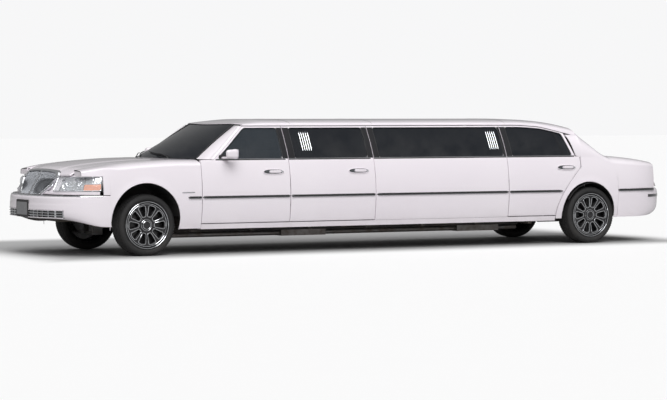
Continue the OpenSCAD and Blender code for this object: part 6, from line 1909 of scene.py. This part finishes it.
cadFinish = dict(frame=underbodyBlack, floor=underbodyBlack, body_frame=pearlPaint, cowl=underbodyBlack,
    tail_panel=underbodyBlack, wheel_liners=blackPlastic, hinge_brackets=bareSteel, engine=castIron,
    driveline=bareSteel, exhaust=bareSteel, fuel_tank=underbodyBlack, front_suspension=bareSteel, rear_axle=castIron,
    knuckle_left=castIron, knuckle_right=castIron)
for nodeName, material in cadFinish.items():
    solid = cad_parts[nodeName]
    solid.data.materials.clear()
    solid.data.materials.append(material)

# Brake lines with their clips along the rails, and covers in the engine bay
under = []
for side in (1, -1):
    t = np.linspace(0, 1, 30)
    line = np.stack([lerp(-5.2, -0.45, t), side * 0.463 + 0 * t, 0.300 + 0 * t], -1)
    under.append(sweep(circle(0.005, 8), line, bareSteel))
    for x in np.linspace(-5.0, -0.7, 9):
        under.append(pillow((x - 0.008, side * 0.458 - 0.010, 0.290), (x + 0.008, side * 0.458 + 0.012, 0.310),
            blackPlastic, power=0.3, counts=(12, 8)))
makePiece("brakeLines", under, "chassis")
bay = [pillow((-0.24, -0.27, 0.868), (0.40, 0.27, 0.905), blackPlastic, power=0.2, counts=(48, 14)),
    pillow((0.470, -0.330, 0.500), (0.520, 0.330, 0.860), castIron, power=0.08, counts=(40, 12)),
    pillow((-0.50, 0.36, 0.72), (-0.28, 0.56, 0.93), blackPlastic, power=0.15, counts=(32, 12))]
for k in range(6):
    bay.append(pillow((-0.20 + 0.095 * k, -0.23, 0.900), (-0.150 + 0.095 * k, 0.23, 0.912), blackPlastic, power=0.2,
        counts=(24, 8)))
makePiece("engineCover", bay, "chassis")
print("underside built")


# Floor, light and camera

studio = dict(floorTone=(0.40, 0.40, 0.40), skyTone=(0.93, 0.93, 0.935), roomLight=0.30, overheadSun=1.15, sideSun=2.15,
    floorGlow=0.52, floorHalf=120.0, paintedShadowEnds=0.35, paintedShadowSides=0.65, paintedShadowBehind=0.9, glowWidth=0.9,
    cameraPlace=(15.38, 27.12, 1.62), turn=29.23, tilt=1.96, lens=138.5)

floorMaterial, tree, shader, place = newMaterial("studioFloor", studio["floorTone"], 0.85)
speck = node(tree, "ShaderNodeTexNoise", Scale=1.5, Detail=2.0)
tree.links.new(place, speck.inputs["Vector"])
share = node(tree, "ShaderNodeMapRange", To_Min=0.0, To_Max=0.25)
tree.links.new(speck.outputs["Fac"], share.inputs["Value"])
tree.links.new(mixColour(tree, share.outputs[0], (*studio["floorTone"], 1), (0.37, 0.37, 0.375, 1)),
    shader.inputs["Base Color"])
# The floor glows for the camera away from the car, so it stays white; in a rectangle round the car, shifted to the far
# side, the glow fades out, a painted shadow that adds to the real one
low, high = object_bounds()
centreX, halfX, halfY = (low[0] + high[0]) / 2, (high[0] - low[0]) / 2, high[1]
apart = node(tree, "ShaderNodeSeparateXYZ")
tree.links.new(place, apart.inputs[0])
# Painted shadow: the distance outside a rectangle round the car, pushed to the far side, where the floor does not glow
alongX = mathNode(tree, "SUBTRACT", mathNode(tree, "ABSOLUTE", mathNode(tree, "SUBTRACT", apart.outputs[0], centreX)),
    halfX - studio["paintedShadowEnds"])
alongY = mathNode(tree, "SUBTRACT", mathNode(tree, "ABSOLUTE", mathNode(tree, "ADD", apart.outputs[1],
    studio["paintedShadowBehind"])), halfY + studio["paintedShadowSides"])
outside = mathNode(tree, "MAXIMUM", alongX, alongY)
glow = node(tree, "ShaderNodeMapRange", From_Min=0.0, From_Max=studio["glowWidth"], To_Min=0.0,
    To_Max=studio["floorGlow"])
glow.interpolation_type = "SMOOTHSTEP"
tree.links.new(outside, glow.inputs["Value"])
seen = node(tree, "ShaderNodeLightPath")
shown = mathNode(tree, "MULTIPLY", glow.outputs[0], seen.outputs["Is Camera Ray"])
tint = node(tree, "ShaderNodeCombineXYZ")
for channel in range(3):
    tree.links.new(shown, tint.inputs[channel])
tree.links.new(tint.outputs[0], shader.inputs["Emission Color"])
shader.inputs["Emission Strength"].default_value = 1.0
mesh = bpy.data.meshes.new("studioFloor")
corners = ((-1, -1), (1, -1), (1, 1), (-1, 1))
mesh.from_pydata([(a * studio["floorHalf"], b * studio["floorHalf"], -0.0005) for a, b in corners], [], [(0, 1, 2, 3)])
mesh.materials.append(floorMaterial)
floor = bpy.data.objects.new("studioFloor", mesh)
bpy.context.scene.collection.objects.link(floor)

# The room is pale where it is seen and dim where it lights, so the glass stays dark
world = bpy.data.worlds.new("softRoom")
bpy.context.scene.world = world
world.use_nodes = True
room = world.node_tree
background = room.nodes["Background"]
background.inputs["Color"].default_value = (*studio["skyTone"], 1)
rays = room.nodes.new("ShaderNodeLightPath")
level = room.nodes.new("ShaderNodeMapRange")
level.inputs["To Min"].default_value, level.inputs["To Max"].default_value = studio["roomLight"], 1.0
room.links.new(rays.outputs["Is Camera Ray"], level.inputs["Value"])
room.links.new(level.outputs[0], background.inputs["Strength"])


def softSun(name, comesFrom, width, strength):
    light = bpy.data.lights.new(name, "SUN")
    light.energy, light.angle = strength, math.radians(width)
    lamp = bpy.data.objects.new(name, light)
    way = -np.array(comesFrom, float)
    lamp.rotation_euler = (math.atan2(math.hypot(way[0], way[1]), -way[2]), 0, math.atan2(way[1], way[0]) - math.pi / 2)
    lamp.location = np.array(comesFrom) * 5.0
    bpy.context.scene.collection.objects.link(lamp)


softSun("overheadSun", (0.10, 0.25, 1.0), 70, studio["overheadSun"])
softSun("sideSun", (0.35, 1.0, 0.95), 45, studio["sideSun"])

camera = bpy.data.cameras.new("camera")
camera.lens, camera.sensor_width = studio["lens"], 36.0
camera.clip_end = 400
view = bpy.data.objects.new("camera", camera)
yaw, pitch = math.radians(studio["turn"]), math.radians(studio["tilt"])
view.location = studio["cameraPlace"]
view.rotation_euler = (math.pi / 2 - pitch, 0, math.pi - yaw)
bpy.context.scene.collection.objects.link(view)
bpy.context.scene.camera = view
bpy.context.scene.view_settings.view_transform = "Standard"

print("stage built")
